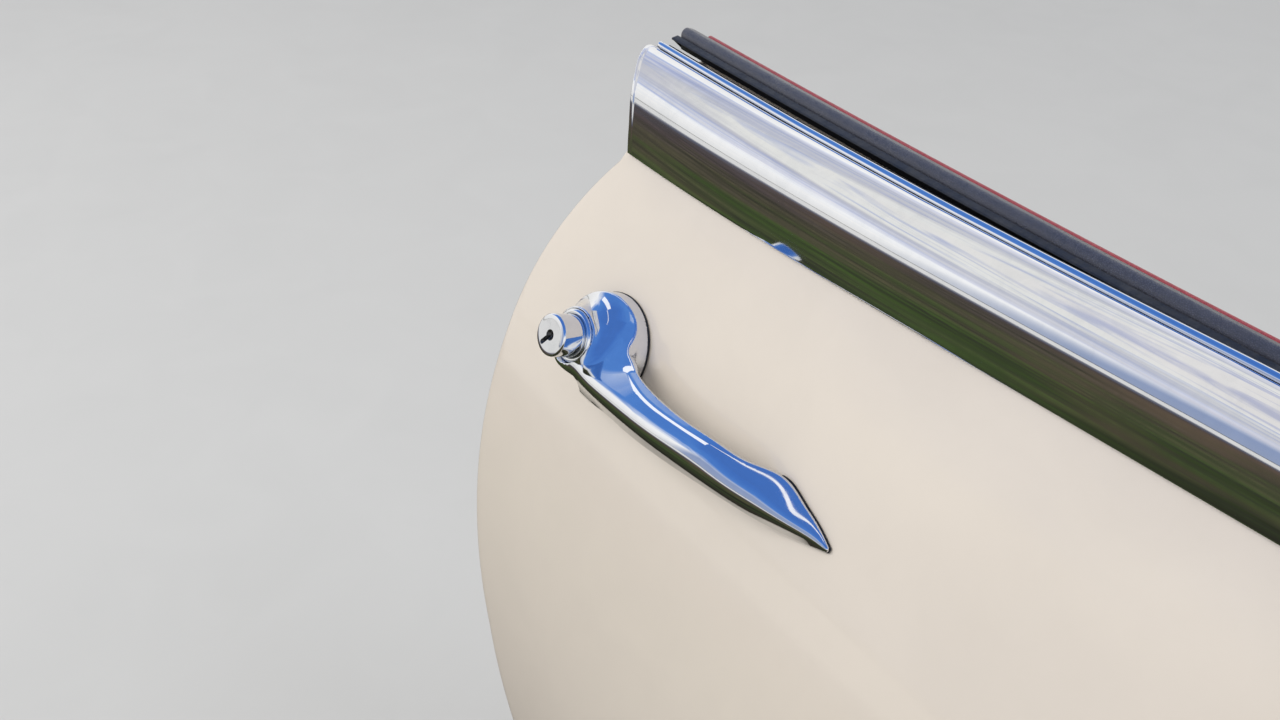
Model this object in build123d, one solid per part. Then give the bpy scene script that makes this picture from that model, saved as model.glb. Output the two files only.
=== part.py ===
"""Right-hand door of a classic two-seat roadster, as it comes off the car with its hinge.

X runs forward, Y towards the middle of the car and Z up. The origin is on the rearward face of
the hinge pillar, at the centre of the hinge's bolt holes, so the door reaches back to -X and its
outside faces -Y. Lengths are millimetres.
"""

import os
from math import asin, cos, degrees, radians, sin, sqrt

from build123d import *

# Body side shape: one section arc, turned about an upright axis far inside the car
section_radius = 470.0
section_middle_z = -60.0
outermost_y = -115.0
plan_radius = 6000.0
widest_x = -700.0

# Door outline in side view
front_edge_x = -28.0
bottom_z = -214.0
front_corner_radius = 34.0
rear_bulge_x = -924.0
rear_slant = 0.40
skin_top_z = 262.0
lip_setback = 24.0
lip_drop = 25.0
# Rear edge below the lip: distance forward of its rearmost point, and height
upper_flank = (7.5, 204.0)
bulge = (0.0, 146.0)
lower_flank = (11.0, 70.0)
hip = (44.0, -6.5)
quarter = (119.0, -112.0)
heel_setback = 366.5

# Sheet and gaps
skin_thickness = 1.6
shell_thickness = 1.5
shut_face_inset = 11.0
hem_inset = 0.6
seat_gap = 0.3

# Waist, rises above the skin's upper edge
capping_rise = 21.0
outer_channel_rise = 13.0
inner_channel_rise = 11.5
glass_rise = 10.0

# Waist, distances inward from the skin's upper edge
outer_channel_in = 3.4
capping_top_in = 7.4
slot_outer_in = 15.9
glass_in = 21.4
slot_inner_in = 26.4
rail_crown_in = 29.6
inner_panel_in = 36.4
rail_edge_in = 39.4

# Waist capping, bead, seal and glass
capping_thickness = 1.6
capping_full_width = 54.5
capping_knee = (3.0, 28.0)
capping_front_x = -31.0
capping_overhang = 21.0
bead_inset = 1.2
bead_width = 4.0
bead_height = 3.4
outer_seal_drop = 7.0
channel_depth = 28.0
glass_thickness = 4.8
glass_bottom_z = -110.0
glass_end_margin = 16.0

# Waist rail, piping and trim casing
rail_height = 11.0
rail_lip = 1.5
rail_shoulder_drop = 4.5
rail_brow = (5.6, 3.0)
rail_edge_drop = 8.5
piping_radius = 1.9
casing_thickness = 5.0
casing_inset = 14.0
casing_bottom_z = -196.0
moulding_z = 214.0
moulding_width = 9.0
moulding_height = 2.4
moulding_margin = 40.0

# Hinge
pin_x = -11.0
pin_y = -47.0
pin_radius = 4.5
pin_clearance = 0.06
pin_head_radius = 6.5
pin_head_height = 3.0
knuckle_radius = 8.5
knuckle_count = 5
knuckle_gap = 1.0
hinge_height = 120.0
hinge_width = 56.0
leaf_thickness = 6.0
leaf_corner_radius = 8.0
hinge_bolt_y = 36.0
hinge_bolt_z = 88.0
hinge_bolt_radius = 4.5
door_leaf_edge_y = -35.0

# Outside handle, in a plane on the skin: u forward, v up the skin and w out of it
handle_setback = 77.0
handle_z = 174.7
handle_length = 165.0
gasket_thickness = 1.2
gasket_gap = 0.2
gasket_rim = 0.8
pedestal_u = 2.5
pedestal_v = -2.0
pedestal_half_u = 29.0
pedestal_upper_v = 26.0
pedestal_lower_v = 19.0
pedestal_wall = 7.0
pedestal_draft = 1.6
bell_radius = 25.5
bell_top_w = 16.5
bell_seat = 2.5
grip_undercut = 1.2
boss_radius = 15.7
boss_reach = 20.0
boss_chamfer = 1.8
barrel_u = 0.4
barrel_v = 2.2
barrel_tilt = 7.5
barrel_radius = 10.0
barrel_foot_w = 9.0
barrel_reach = 35.0
barrel_chamfer = 1.4
barrel_clearance = 0.1
seat_ring_radius = 12.6
seat_ring_reach = 22.5
seat_ring_chamfer = 0.8
keyhole_radius = 2.2
keyhole_depth = 3.0
key_slot = (6.0, 1.6)
key_slot_angle = 235.0

# Latch on the rear shut face
latch_z = 78.0
latch_y = 20.0
latch_plate_height = 92.0
latch_plate_width = 46.0
latch_plate_thickness = 2.6
rotor_radius = 13.0
rotor_tooth = 3.4
rotor_teeth = 8
rotor_width = 11.0
dovetail_drop = 30.0
dovetail_size = 15.0

# Rubber
door_seal_width = 7.6
door_seal_height = 8.0
buffer_radius = 9.0
buffer_height = 6.0
buffer_in = 13.0
buffer_drops = (80.0, 302.0)

# Controls on the casing
winder_x = -330.0
winder_z = -26.0
winder_arm_length = 92.0
winder_arm_angle = 140.0
winder_boss_radius = 11.0
winder_knob_radius = 10.5
winder_knob_height = 24.0
release_setback = 284.0
release_z = 118.0
release_lever_length = 84.0
release_boss_radius = 10.0
escutcheon_radius = 24.0
escutcheon_height = 4.0

lip_x = rear_bulge_x + lip_setback
lip_z = skin_top_z - lip_drop
handle_x = rear_bulge_x + handle_setback
release_x = rear_bulge_x + release_setback
capping_top_z = skin_top_z + capping_rise
outer_channel_z = skin_top_z + outer_channel_rise
inner_channel_z = skin_top_z + inner_channel_rise
glass_top_z = skin_top_z + glass_rise
# In the section, v is inward from the outermost point
skin_edge_v = section_radius - sqrt(section_radius**2 - (skin_top_z - section_middle_z) ** 2)
outer_channel_v = skin_edge_v + outer_channel_in
capping_top_v = skin_edge_v + capping_top_in
slot_outer_v = skin_edge_v + slot_outer_in
glass_v = skin_edge_v + glass_in
slot_inner_v = skin_edge_v + slot_inner_in
rail_crown_v = skin_edge_v + rail_crown_in
inner_panel_v = skin_edge_v + inner_panel_in
rail_edge_v = skin_edge_v + rail_edge_in
turn_axis_y = outermost_y + plan_radius
turn_axis = Axis((widest_x, turn_axis_y, 0), (0, 0, 1))
casing_outer_v = inner_panel_v + seat_gap
casing_inner_v = casing_outer_v + casing_thickness
casing_top_z = inner_channel_z
shut_face_x = front_edge_x - shut_face_inset
past_end = 40.0
above_waist = 400.0


def turn_angle(x):
    """Angle about the far axis that brings the widest section to x."""
    return degrees(asin((x - widest_x) / plan_radius))


def body_point(x, v, z):
    """The point at x that lies v inward from the outermost line of the body side."""
    radius = plan_radius - v
    return Vector(x, turn_axis_y - sqrt(radius**2 - (x - widest_x) ** 2), z)


def skin_v(z, depth=0.0):
    """Distance inward from the outermost point to the skin's surface at height z."""
    radius = section_radius - depth
    return section_radius - sqrt(radius**2 - (z - section_middle_z) ** 2)


def section_plane():
    """Plane of the widest section, with v inward from the outermost point and z up."""
    return Plane(origin=(widest_x, outermost_y, 0), x_dir=(0, 1, 0), z_dir=(1, 0, 0))


def at_section(shape, x):
    """A flat shape in (v, z), set upright across the body side at x."""
    return (section_plane() * shape).rotate(turn_axis, turn_angle(x))


def turned(face, x_from=rear_bulge_x - past_end, x_to=past_end):
    """A section carried round the body side from x_from to x_to."""
    return revolve(at_section(face, x_from), turn_axis, turn_angle(x_to) - turn_angle(x_from))


def filled(*edges):
    """A face inside a closed run of lines and arcs."""
    return make_face(Wire(list(edges)))


def side_face(depth, low_z, high_z, inner_v):
    """Section between the skin's arc at that depth and an upright line inside."""
    low = (skin_v(low_z, depth), low_z)
    high = (skin_v(high_z, depth), high_z)
    middle_z = (low_z + high_z) / 2
    return filled(
        ThreePointArc(low, (skin_v(middle_z, depth), middle_z), high),
        Line(high, (inner_v, high_z)),
        Line((inner_v, high_z), (inner_v, low_z)),
        Line((inner_v, low_z), low),
    )


def block(v_low, v_high, z_low, z_high):
    """A rectangle in the section."""
    middle = ((v_low + v_high) / 2, (z_low + z_high) / 2)
    return Pos(*middle) * Rectangle(v_high - v_low, z_high - z_low)


def skin_band(depth, thickness, top_z):
    """A sheet that follows the body side at that depth below its surface."""
    low = bottom_z - past_end
    near = turned(side_face(depth, low, top_z, inner_panel_v))
    far = side_face(depth + thickness, low - 1, top_z + 1, inner_panel_v + 1)
    return near - turned(far, rear_bulge_x - past_end - 1, past_end + 1)


def outline_edges(top_z):
    """The door's outline in side view, as (x, z) edges that run round once."""
    top_rear = (lip_x - rear_slant * (top_z - lip_z), top_z)
    lip = (lip_x, lip_z)
    heel = (rear_bulge_x + heel_setback, bottom_z)
    rear = [(rear_bulge_x + setback, z) for setback, z in (upper_flank, bulge, lower_flank, hip, quarter)]
    toe = (front_edge_x - front_corner_radius, bottom_z)
    front_low = (front_edge_x, bottom_z + front_corner_radius)
    front_top = (front_edge_x, top_z)
    corner = front_corner_radius * (1 - sin(radians(45)))
    return [
        Line(front_top, top_rear),
        Line(top_rear, lip),
        ThreePointArc(lip, rear[0], rear[1]),
        ThreePointArc(rear[1], rear[2], rear[3]),
        ThreePointArc(rear[3], rear[4], heel),
        Line(heel, toe),
        ThreePointArc(toe, (front_edge_x - corner, bottom_z + corner), front_low),
        Line(front_low, front_top),
    ]


def outline_wire(top_z, inset=0.0):
    """The outline as a closed wire, drawn in by inset."""
    wire = Wire(outline_edges(top_z))
    return wire.offset_2d(-inset, kind=Kind.TANGENT) if inset else wire


def side_prism(face):
    """A face in side view carried straight through the door's thickness."""
    side = Plane(origin=(0, -400, 0), x_dir=(1, 0, 0), z_dir=(0, -1, 0))
    return extrude(side * face, -900)


def outline_prism(top_z, inset=0.0):
    """The door's outline, drawn in by inset, carried through its thickness."""
    return side_prism(make_face(outline_wire(top_z, inset)))


def waist_strip(face):
    """A section carried along the waist, its rear end in line with the capping's slant."""
    rear_x = lip_x - rear_slant * (face.center().Y - lip_z)
    return turned(face, rear_x, capping_front_x)


def outer_skin():
    return skin_band(0, skin_thickness, skin_top_z) & outline_prism(skin_top_z)


def inner_shell():
    """The pressed inner door: hem flange, shut faces, inner panel and both waist channels."""
    hem_depth = skin_thickness + seat_gap
    wall = shell_thickness
    low = bottom_z - past_end
    hem = skin_band(hem_depth, wall, skin_top_z) & (
        outline_prism(skin_top_z, hem_inset) - outline_prism(above_waist, shut_face_inset + wall)
    )
    outside = (
        side_face(hem_depth, low, skin_top_z, inner_panel_v)
        + block(outer_channel_v, slot_outer_v, skin_top_z - 1, outer_channel_z)
        + block(slot_outer_v, inner_panel_v, skin_top_z - 1, inner_channel_z)
    )
    channel_z = inner_channel_z - channel_depth
    inside = (
        block(-past_end, inner_panel_v - wall, low - 1, channel_z)
        + block(outer_channel_v + wall, slot_outer_v - wall, channel_z - 1, outer_channel_z - wall)
        + block(slot_outer_v, slot_inner_v, channel_z - 1, above_waist)
        + block(slot_inner_v + wall, inner_panel_v - wall, channel_z - 1, inner_channel_z - wall)
        + block(-past_end, outer_channel_v, channel_z - 1, above_waist)
    )
    pan = turned(outside) & outline_prism(above_waist, shut_face_inset)
    hollow = turned(inside, rear_bulge_x - past_end - 1, past_end + 1)
    shell = pan - (hollow & outline_prism(above_waist + 1, shut_face_inset + wall)) + hem
    return shell - bolt_holes(shut_face_x, door_leaf_edge_y + hinge_width / 2)


def capping_face(lower_z):
    """Section of the capping: a near upright arc that rolls over into the top edge."""
    low = Vector(skin_v(lower_z, -capping_thickness - seat_gap), lower_z)
    top = Vector(capping_top_v, capping_top_z)
    middle = low + Vector(*capping_knee) * ((top - low).length / capping_full_width)
    lower_arc = TangentArc(low, middle, tangent=(-0.05, 1))
    upper_arc = TangentArc(middle, top, tangent=lower_arc % 1)
    inner = [
        point + Vector(along.Y, -along.X).normalized() * capping_thickness
        for point, along in ((low, lower_arc % 0), (middle, lower_arc % 1), (top, upper_arc % 1))
    ]
    return filled(
        lower_arc,
        upper_arc,
        Line(top, inner[2]),
        TangentArc(inner[2], inner[1], tangent=(upper_arc % 1) * -1),
        TangentArc(inner[1], inner[0], tangent=(lower_arc % 1) * -1),
        Line(inner[0], low),
    )


def waist_capping():
    # x of the section and how far its lower edge is below the skin's, from the rear to the front
    lower_edge = [
        (rear_bulge_x - capping_overhang, 25.5),
        (handle_x + 67, 21.5),
        (handle_x + 197, 16.5),
        (capping_front_x - 319, 10),
        (capping_front_x + capping_overhang, 4),
    ]
    whole = loft([at_section(capping_face(skin_top_z - drop), x) for x, drop in lower_edge])
    low, high = lip_z - past_end, above_waist
    rear_low = (lip_x + rear_slant * past_end, low)
    rear_high = (lip_x - rear_slant * (high - lip_z), high)
    span = Polyline(rear_low, (capping_front_x, low), (capping_front_x, high), rear_high, rear_low)
    return whole & side_prism(make_face(span))


def waist_bead():
    low_v = capping_top_v + bead_inset
    base_z = capping_top_z - capping_thickness
    shoulder = base_z + bead_height - bead_width / 2
    high_v = low_v + bead_width
    return waist_strip(
        filled(
            Line((low_v, base_z), (low_v, shoulder)),
            ThreePointArc((low_v, shoulder), (low_v + bead_width / 2, base_z + bead_height), (high_v, shoulder)),
            Line((high_v, shoulder), (high_v, base_z)),
            Line((high_v, base_z), (low_v, base_z)),
        )
    )


def outer_waist_seal():
    top_z = capping_top_z - capping_thickness - seat_gap
    lip_v = glass_v - glass_thickness / 2 - seat_gap
    top = waist_strip(block(capping_top_v - 1, lip_v, outer_channel_z + seat_gap, top_z))
    inside_walls = shut_face_inset + shell_thickness + 2 * seat_gap
    drop_z = outer_channel_z - outer_seal_drop
    rear_x = lip_x - rear_slant * (drop_z - lip_z) + inside_walls
    drop = block(slot_outer_v + seat_gap, lip_v, drop_z, top_z)
    return top + turned(drop, rear_x, front_edge_x - inside_walls)


def door_glass():
    half = glass_thickness / 2
    sheet = turned(block(glass_v - half, glass_v + half, glass_bottom_z, glass_top_z))
    inset = shut_face_inset + shell_thickness + glass_end_margin
    return sheet & outline_prism(above_waist, inset)


def waist_rail():
    base_z = inner_channel_z + seat_gap
    outer_v = slot_inner_v - rail_lip
    top_z = base_z + rail_height
    edge_z = top_z - rail_edge_drop
    shoulder = (outer_v, top_z - rail_shoulder_drop)
    crown = (rail_crown_v, top_z)
    brow = (rail_crown_v + rail_brow[0], top_z - rail_brow[1])
    edge = (rail_edge_v, edge_z)
    return waist_strip(
        filled(
            Line((outer_v, base_z), shoulder),
            TangentArc(shoulder, crown, tangent=(0.15, 1)),
            ThreePointArc(crown, brow, edge),
            Line(edge, (rail_edge_v, base_z)),
            Line((rail_edge_v, base_z), (outer_v, base_z)),
        )
    )


def trim_piping():
    v = rail_edge_v + seat_gap + piping_radius
    z = casing_top_z + seat_gap + piping_radius
    return waist_strip(Pos(v, z) * Circle(piping_radius))


def trim_casing():
    board = turned(block(casing_outer_v, casing_inner_v, casing_bottom_z, casing_top_z))
    return board & outline_prism(above_waist, casing_inset)


def casing_plane(x, z):
    """Plane on the casing's face at x and z, with its normal into the car."""
    angle = degrees(asin((x - widest_x) / (plan_radius - casing_inner_v)))
    flat = Plane(origin=(0, 0, 0), x_dir=(-1, 0, 0), z_dir=(0, 1, 0)).rotated((0, 0, angle))
    flat.origin = body_point(x, casing_inner_v + seat_gap, z)
    return flat


def casing_moulding():
    low = moulding_z - moulding_width / 2
    high = moulding_z + moulding_width / 2
    base_v = casing_inner_v + seat_gap
    crown = (base_v + moulding_height, moulding_z)
    face = filled(ThreePointArc((base_v, low), crown, (base_v, high)), Line((base_v, high), (base_v, low)))
    return turned(face, lip_x + moulding_margin, front_edge_x - moulding_margin)


def escutcheon(x, z, bore_radius):
    """Domed ring under a control, with a clear bore for the control's boss."""
    dome = Cylinder(escutcheon_radius, escutcheon_height, align=(Align.CENTER, Align.CENTER, Align.MIN))
    dome = fillet(dome.edges().sort_by(Axis.Z)[-1], escutcheon_height * 0.8)
    bore = Cylinder(bore_radius + seat_gap, 4 * escutcheon_height)
    return casing_plane(x, z) * (dome - bore)


def crank_arm(length, boss_radius, boss_height, tip_radius, thickness):
    """A tapering arm that lies clear of the casing, from its boss to its tip along x."""
    level = Plane.XY.offset(boss_height - thickness)
    ends = Circle(boss_radius) + Pos(length, 0) * Circle(tip_radius)
    arm = extrude(level * make_hull(ends.edges()), thickness)
    boss = Cylinder(boss_radius, boss_height, align=(Align.CENTER, Align.CENTER, Align.MIN))
    return boss + arm


def winder_arm():
    height = escutcheon_height + 14
    arm = crank_arm(winder_arm_length, winder_boss_radius, height, 7.5, 5.5)
    return casing_plane(winder_x, winder_z) * Rot(0, 0, winder_arm_angle) * arm


def winder_knob():
    base = escutcheon_height + 14 + seat_gap
    knob = Cylinder(winder_knob_radius, winder_knob_height, align=(Align.CENTER, Align.CENTER, Align.MIN))
    knob = fillet(knob.edges().sort_by(Axis.Z)[-1], 5)
    place = Rot(0, 0, winder_arm_angle) * Pos(winder_arm_length, 0, base)
    return casing_plane(winder_x, winder_z) * place * knob


def release_lever():
    height = escutcheon_height + 11
    arm = crank_arm(release_lever_length, release_boss_radius, height, 5.5, 5)
    return casing_plane(release_x, release_z) * arm


def knuckle_spans(for_door):
    """Height ranges of one leaf's knuckles: the post has the first, third and so on."""
    pitch = hinge_height / knuckle_count
    start = 1 if for_door else 0
    spans = []
    for index in range(start, knuckle_count, 2):
        low = -hinge_height / 2 + index * pitch
        low_gap = knuckle_gap / 2 if index > 0 else 0
        high_gap = knuckle_gap / 2 if index < knuckle_count - 1 else 0
        spans.append((low + low_gap, low + pitch - high_gap))
    return spans


def upright_box(x_low, x_high, y_low, y_high, z_low, z_high):
    """A box between two corners."""
    size = (x_high - x_low, y_high - y_low, z_high - z_low)
    middle = ((x_low + x_high) / 2, (y_low + y_high) / 2, (z_low + z_high) / 2)
    return Pos(*middle) * Box(*size)


def knuckles(for_door, arm_x_low, arm_x_high, arm_y_high):
    """Bored knuckles on the pin's axis, each with an arm back to its leaf."""
    solid = None
    for low, high in knuckle_spans(for_door):
        tube = Pos(pin_x, pin_y, (low + high) / 2) * Cylinder(knuckle_radius, high - low)
        arm = upright_box(arm_x_low, arm_x_high, pin_y - 2, arm_y_high, low, high)
        solid = tube + arm if solid is None else solid + tube + arm
    bore = Pos(pin_x, pin_y, 0) * Cylinder(pin_radius + pin_clearance, 2 * hinge_height)
    return solid, bore


def leaf_plate(x_low, y_low, y_high):
    """A leaf across the car, with rounded corners on its inboard side."""
    plate = upright_box(x_low, x_low + leaf_thickness, y_low, y_high, -hinge_height / 2, hinge_height / 2)
    inboard = plate.edges().filter_by(Axis.X).group_by(Axis.Y)[-1]
    return fillet(inboard, leaf_corner_radius)


def bolt_holes(x, y_middle):
    """Bores of the four bolts, through a leaf at x."""
    hole = Rot(0, 90, 0) * Cylinder(hinge_bolt_radius, 4 * leaf_thickness)
    return [
        Pos(x, y_middle + y * hinge_bolt_y / 2, z * hinge_bolt_z / 2) * hole
        for y in (-1, 1)
        for z in (-1, 1)
    ]


def hinge_post_leaf():
    half = hinge_width / 2
    plate = leaf_plate(-leaf_thickness, -half, half)
    solid, bore = knuckles(False, pin_x + 3, 0, 2 - half)
    return plate + solid - bore - bolt_holes(0, 0)


def hinge_door_leaf():
    low_x = shut_face_x + seat_gap
    plate = leaf_plate(low_x, door_leaf_edge_y, door_leaf_edge_y + hinge_width)
    solid, bore = knuckles(True, low_x, pin_x - 2, pin_y + 6)
    web = [
        upright_box(low_x, low_x + leaf_thickness, pin_y - 2, door_leaf_edge_y + 1, low, high)
        for low, high in knuckle_spans(True)
    ]
    return plate + solid + web - bore - bolt_holes(low_x, door_leaf_edge_y + hinge_width / 2)


def hinge_pin():
    shank = Cylinder(pin_radius, hinge_height + 2)
    head = Pos(0, 0, hinge_height / 2 + seat_gap + pin_head_height / 2) * Cylinder(pin_head_radius, pin_head_height)
    return Pos(pin_x, pin_y, 0) * (shank + head)


def handle_plane():
    """Plane on the skin under the lock barrel: u towards the grip's foot and w outward."""
    base = body_point(handle_x, skin_v(handle_z), handle_z)
    foot = body_point(handle_x + handle_length, skin_v(handle_z), handle_z)
    tilt = asin((handle_z - section_middle_z) / section_radius)
    along = (foot - base).normalized()
    across = Vector(0, sin(tilt), cos(tilt))
    return Plane(origin=base, x_dir=along, z_dir=along.cross(across))


def barrel_plane():
    """Plane at the foot of the lock barrel, with its normal out along the barrel."""
    return handle_plane() * Pos(barrel_u, barrel_v, 0) * Rot(barrel_tilt, 0, 0)


def upright_cylinder(radius, low, high):
    """A cylinder on the local upright axis between two heights."""
    return Pos(0, 0, (low + high) / 2) * Cylinder(radius, high - low)


def pedestal_outline(rim=0.0):
    """The pedestal's footprint: an ellipse that is fuller above its middle than below."""
    middle = (pedestal_u, pedestal_v)
    half_u = pedestal_half_u + rim
    upper = EllipticalCenterArc(middle, half_u, pedestal_upper_v + rim, 0, arc_size=180)
    lower = EllipticalCenterArc(middle, half_u, pedestal_lower_v + rim, 180, arc_size=180)
    return filled(upper, lower)


def pedestal():
    """A drafted wall round the footprint, under a hollow slope that rises to the boss."""
    far = 2 * pedestal_half_u
    top = (boss_radius - bell_seat, bell_top_w)
    slope = filled(
        Line((0, -past_end), (far, -past_end)),
        Line((far, -past_end), (far, pedestal_wall)),
        Line((far, pedestal_wall), (bell_radius, pedestal_wall)),
        TangentArc((bell_radius, pedestal_wall), top, tangent=(-1, 0)),
        Line(top, (0, bell_top_w)),
        Line((0, bell_top_w), (0, -past_end)),
    )
    bell = Pos(barrel_u, 0, 0) * revolve(Plane.XZ * slope, Axis.Z)
    wall = loft([pedestal_outline(), Plane.XY.offset(bell_top_w) * pedestal_outline(-pedestal_draft)])
    return wall & bell


def grip_face(u, edge, crease, brow, nose, chin, heel, back_top_w, back_low_w):
    """Section across the grip at u, as (v, w) points from its upper edge round the nose to the back."""
    place = Plane(origin=(u, 0, 0), x_dir=(0, 1, 0), z_dir=(1, 0, 0))
    undercut = min(grip_undercut, (edge[0] - heel[0]) / 4)
    back_low = (heel[0] + undercut, back_low_w)
    back_top = (edge[0] - undercut, back_top_w)
    return place * filled(
        Line(edge, crease),
        Line(crease, brow),
        ThreePointArc(brow, nose, chin),
        Line(chin, heel),
        Line(heel, back_low),
        Line(back_low, back_top),
        Line(back_top, edge),
    )


def grip():
    """The grip, lofted from the boss to the tip of its leaf-shaped foot."""
    tip = handle_length
    # u, upper edge, crease, brow, nose, chin and heel as (v, w), then w of the back's top and low side
    sections = [
        (6, (9.0, 8.5), (4.4, 12.0), (-7.8, 20.4), (-13.2, 21.2), (-16.8, 19.2), (-20.2, 12.5), 6.5, 10),
        (20, (9.5, 8.5), (4.3, 12.8), (-8.7, 23.6), (-12.8, 24.2), (-16.3, 22.0), (-20.2, 14.7), 6.5, 12.5),
        (38, (4.8, 15.0), (2.0, 18.0), (-8.0, 26.4), (-11.3, 27.0), (-14.8, 24.8), (-19.0, 17.5), 13, 15.5),
        (60, (3.1, 19.3), (-0.1, 23.0), (-5.9, 27.8), (-9.4, 28.4), (-13.2, 26.2), (-17.7, 18.9), 17.3, 16.9),
        (85, (3.9, 20.6), (1.5, 23.4), (-3.6, 27.6), (-7.2, 28.2), (-11.0, 26.0), (-14.9, 18.8), 18.4, 16.8),
        (tip - 60, (4.5, 18.6), (2.8, 21.3), (-2.2, 25.6), (-5.7, 26.2), (-9.4, 24.0), (-12.8, 16.7), 15.5, 13.5),
        (tip - 47, (3.9, 13.0), (3.5, 16.5), (-1.6, 22.9), (-4.9, 23.7), (-8.4, 21.9), (-11.1, 15.2), 7, 6),
        (tip - 35, (7.0, 5.5), (5.0, 10.0), (-1.3, 18.8), (-4.5, 19.6), (-7.9, 17.8), (-10.2, 11.0), 1, 1),
        (tip - 20, (3.4, 2.8), (3.2, 6.2), (-1.9, 12.4), (-4.6, 13.2), (-6.9, 11.4), (-9.0, 5.0), 0, 0),
        (tip - 7, (-0.9, 2.0), (-1.1, 3.6), (-3.4, 5.9), (-4.5, 6.4), (-5.8, 5.2), (-7.4, 2.4), 0, 0),
        (tip, (-4.2, 1.7), (-4.4, 2.1), (-4.8, 2.5), (-5.2, 2.6), (-5.6, 2.4), (-6.2, 1.8), 0, 0),
    ]
    return loft([grip_face(*row) for row in sections])


def handle_body():
    """One casting: pedestal, boss round the lock barrel, and the grip that sweeps down to its foot."""
    tilted = Pos(barrel_u, barrel_v, 0) * Rot(barrel_tilt, 0, 0)
    boss = upright_cylinder(boss_radius, 0, boss_reach)
    boss = chamfer(boss.edges().sort_by(Axis.Z)[-1], boss_chamfer)
    bore = tilted * upright_cylinder(seat_ring_radius + barrel_clearance, barrel_foot_w, 2 * barrel_reach)
    under_skin = turned(side_face(-gasket_thickness, bottom_z, skin_top_z, inner_panel_v))
    return handle_plane() * (pedestal() + tilted * boss + grip() - bore) - under_skin


def handle_gasket(face):
    """A thin rubber pad that follows the skin under one end of the handle."""
    pad = handle_plane() * extrude(face, 3 * gasket_thickness, both=True)
    return pad & skin_band(gasket_gap - gasket_thickness, gasket_thickness - 2 * gasket_gap, skin_top_z)


def rear_gasket():
    return handle_gasket(pedestal_outline(gasket_rim))


def front_gasket():
    tip = handle_length
    # (u, v) round the foot: its upper edge from the rear to the tip, then back along the lower edge
    upper = [(tip - 42, 5.0), (tip - 35, 7.6), (tip - 27, 6.6), (tip - 10, 0.6), (tip + 1, -4.4)]
    lower = [(tip + 1, -6.4), (tip - 15, -9.6), (tip - 35, -11.0), (tip - 42, -8.0)]
    return handle_gasket(make_face(Polyline(*upper, *lower, upper[0])))


def barrel_seat():
    ring = upright_cylinder(seat_ring_radius, barrel_foot_w, seat_ring_reach)
    ring = chamfer(ring.edges().sort_by(Axis.Z)[-1], seat_ring_chamfer)
    bore = Cylinder(barrel_radius + barrel_clearance, 4 * barrel_reach)
    return barrel_plane() * (ring - bore)


def lock_barrel():
    barrel = upright_cylinder(barrel_radius, barrel_foot_w, barrel_reach)
    barrel = chamfer(barrel.edges().sort_by(Axis.Z)[-1], barrel_chamfer)
    slot = Rot(0, 0, key_slot_angle) * Pos(key_slot[0] / 2, 0) * Rectangle(*key_slot)
    eye = Circle(keyhole_radius) + slot
    keyhole = extrude(Plane.XY.offset(barrel_reach - keyhole_depth) * eye, 2 * keyhole_depth)
    return barrel_plane() * (barrel - keyhole)


def shut_face_reach(z):
    """How far back the rear shut face stands at height z."""
    level = Line((rear_bulge_x - past_end, z), (widest_x, z))
    crossings = outline_wire(above_waist, shut_face_inset).intersect(level)
    return min(Vector(point).X for point in crossings)


def latch_seat(z, y, standoff):
    """Plane on the rear shut face at height z, with its normal out of the face."""
    slope = (shut_face_reach(z + 1) - shut_face_reach(z - 1)) / 2
    normal = Vector(-1, 0, slope).normalized()
    place = Vector(shut_face_reach(z), y, z) + normal * standoff
    return Plane(origin=place, x_dir=(0, 1, 0), z_dir=normal)


def latch_plate():
    near = outline_prism(above_waist, shut_face_inset - seat_gap)
    far = outline_prism(above_waist + 1, shut_face_inset - seat_gap - latch_plate_thickness)
    half = latch_plate_width / 2
    low, high = latch_z - latch_plate_height / 2, latch_z + latch_plate_height / 2
    place = upright_box(rear_bulge_x, lip_x + past_end, latch_y - half, latch_y + half, low, high)
    return (far - near) & place


def latch_rotor():
    hub = Cylinder(rotor_radius - rotor_tooth, rotor_width, align=(Align.CENTER, Align.CENTER, Align.MIN))
    tooth = Pos(rotor_radius - rotor_tooth, 0, rotor_width / 2) * Box(2 * rotor_tooth, rotor_tooth, rotor_width)
    teeth = [Rot(0, 0, 360 * index / rotor_teeth) * tooth for index in range(rotor_teeth)]
    seat = latch_seat(latch_z + 14, latch_y, latch_plate_thickness + 2 * seat_gap)
    return seat * (hub + teeth)


def latch_dovetail():
    half = dovetail_size / 2
    wedge = extrude(Trapezoid(dovetail_size * 1.5, dovetail_size, 75), rotor_width - 2)
    seat = latch_seat(latch_z - dovetail_drop / 1.5, latch_y, latch_plate_thickness + 2 * seat_gap)
    return seat * chamfer(wedge.faces().sort_by(Axis.Z)[-1].edges(), half / 6)


def door_seal():
    depth = skin_thickness + 2 * seat_gap + shell_thickness
    strip = skin_band(depth, door_seal_height, skin_top_z - 6)
    outer = shut_face_inset - seat_gap
    ring = outline_prism(above_waist, outer - door_seal_width) - outline_prism(above_waist + 1, outer)
    return strip & ring


def door_buffer(z):
    buffer = Cylinder(buffer_radius, buffer_height, align=(Align.CENTER, Align.CENTER, Align.MIN))
    buffer = fillet(buffer.edges().sort_by(Axis.Z)[-1], 2)
    return latch_seat(z, outermost_y + inner_panel_v - buffer_in, seat_gap) * buffer


def write(name, shape):
    shape.label = name
    export_step(shape, f"parts/{name}.step")


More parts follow.
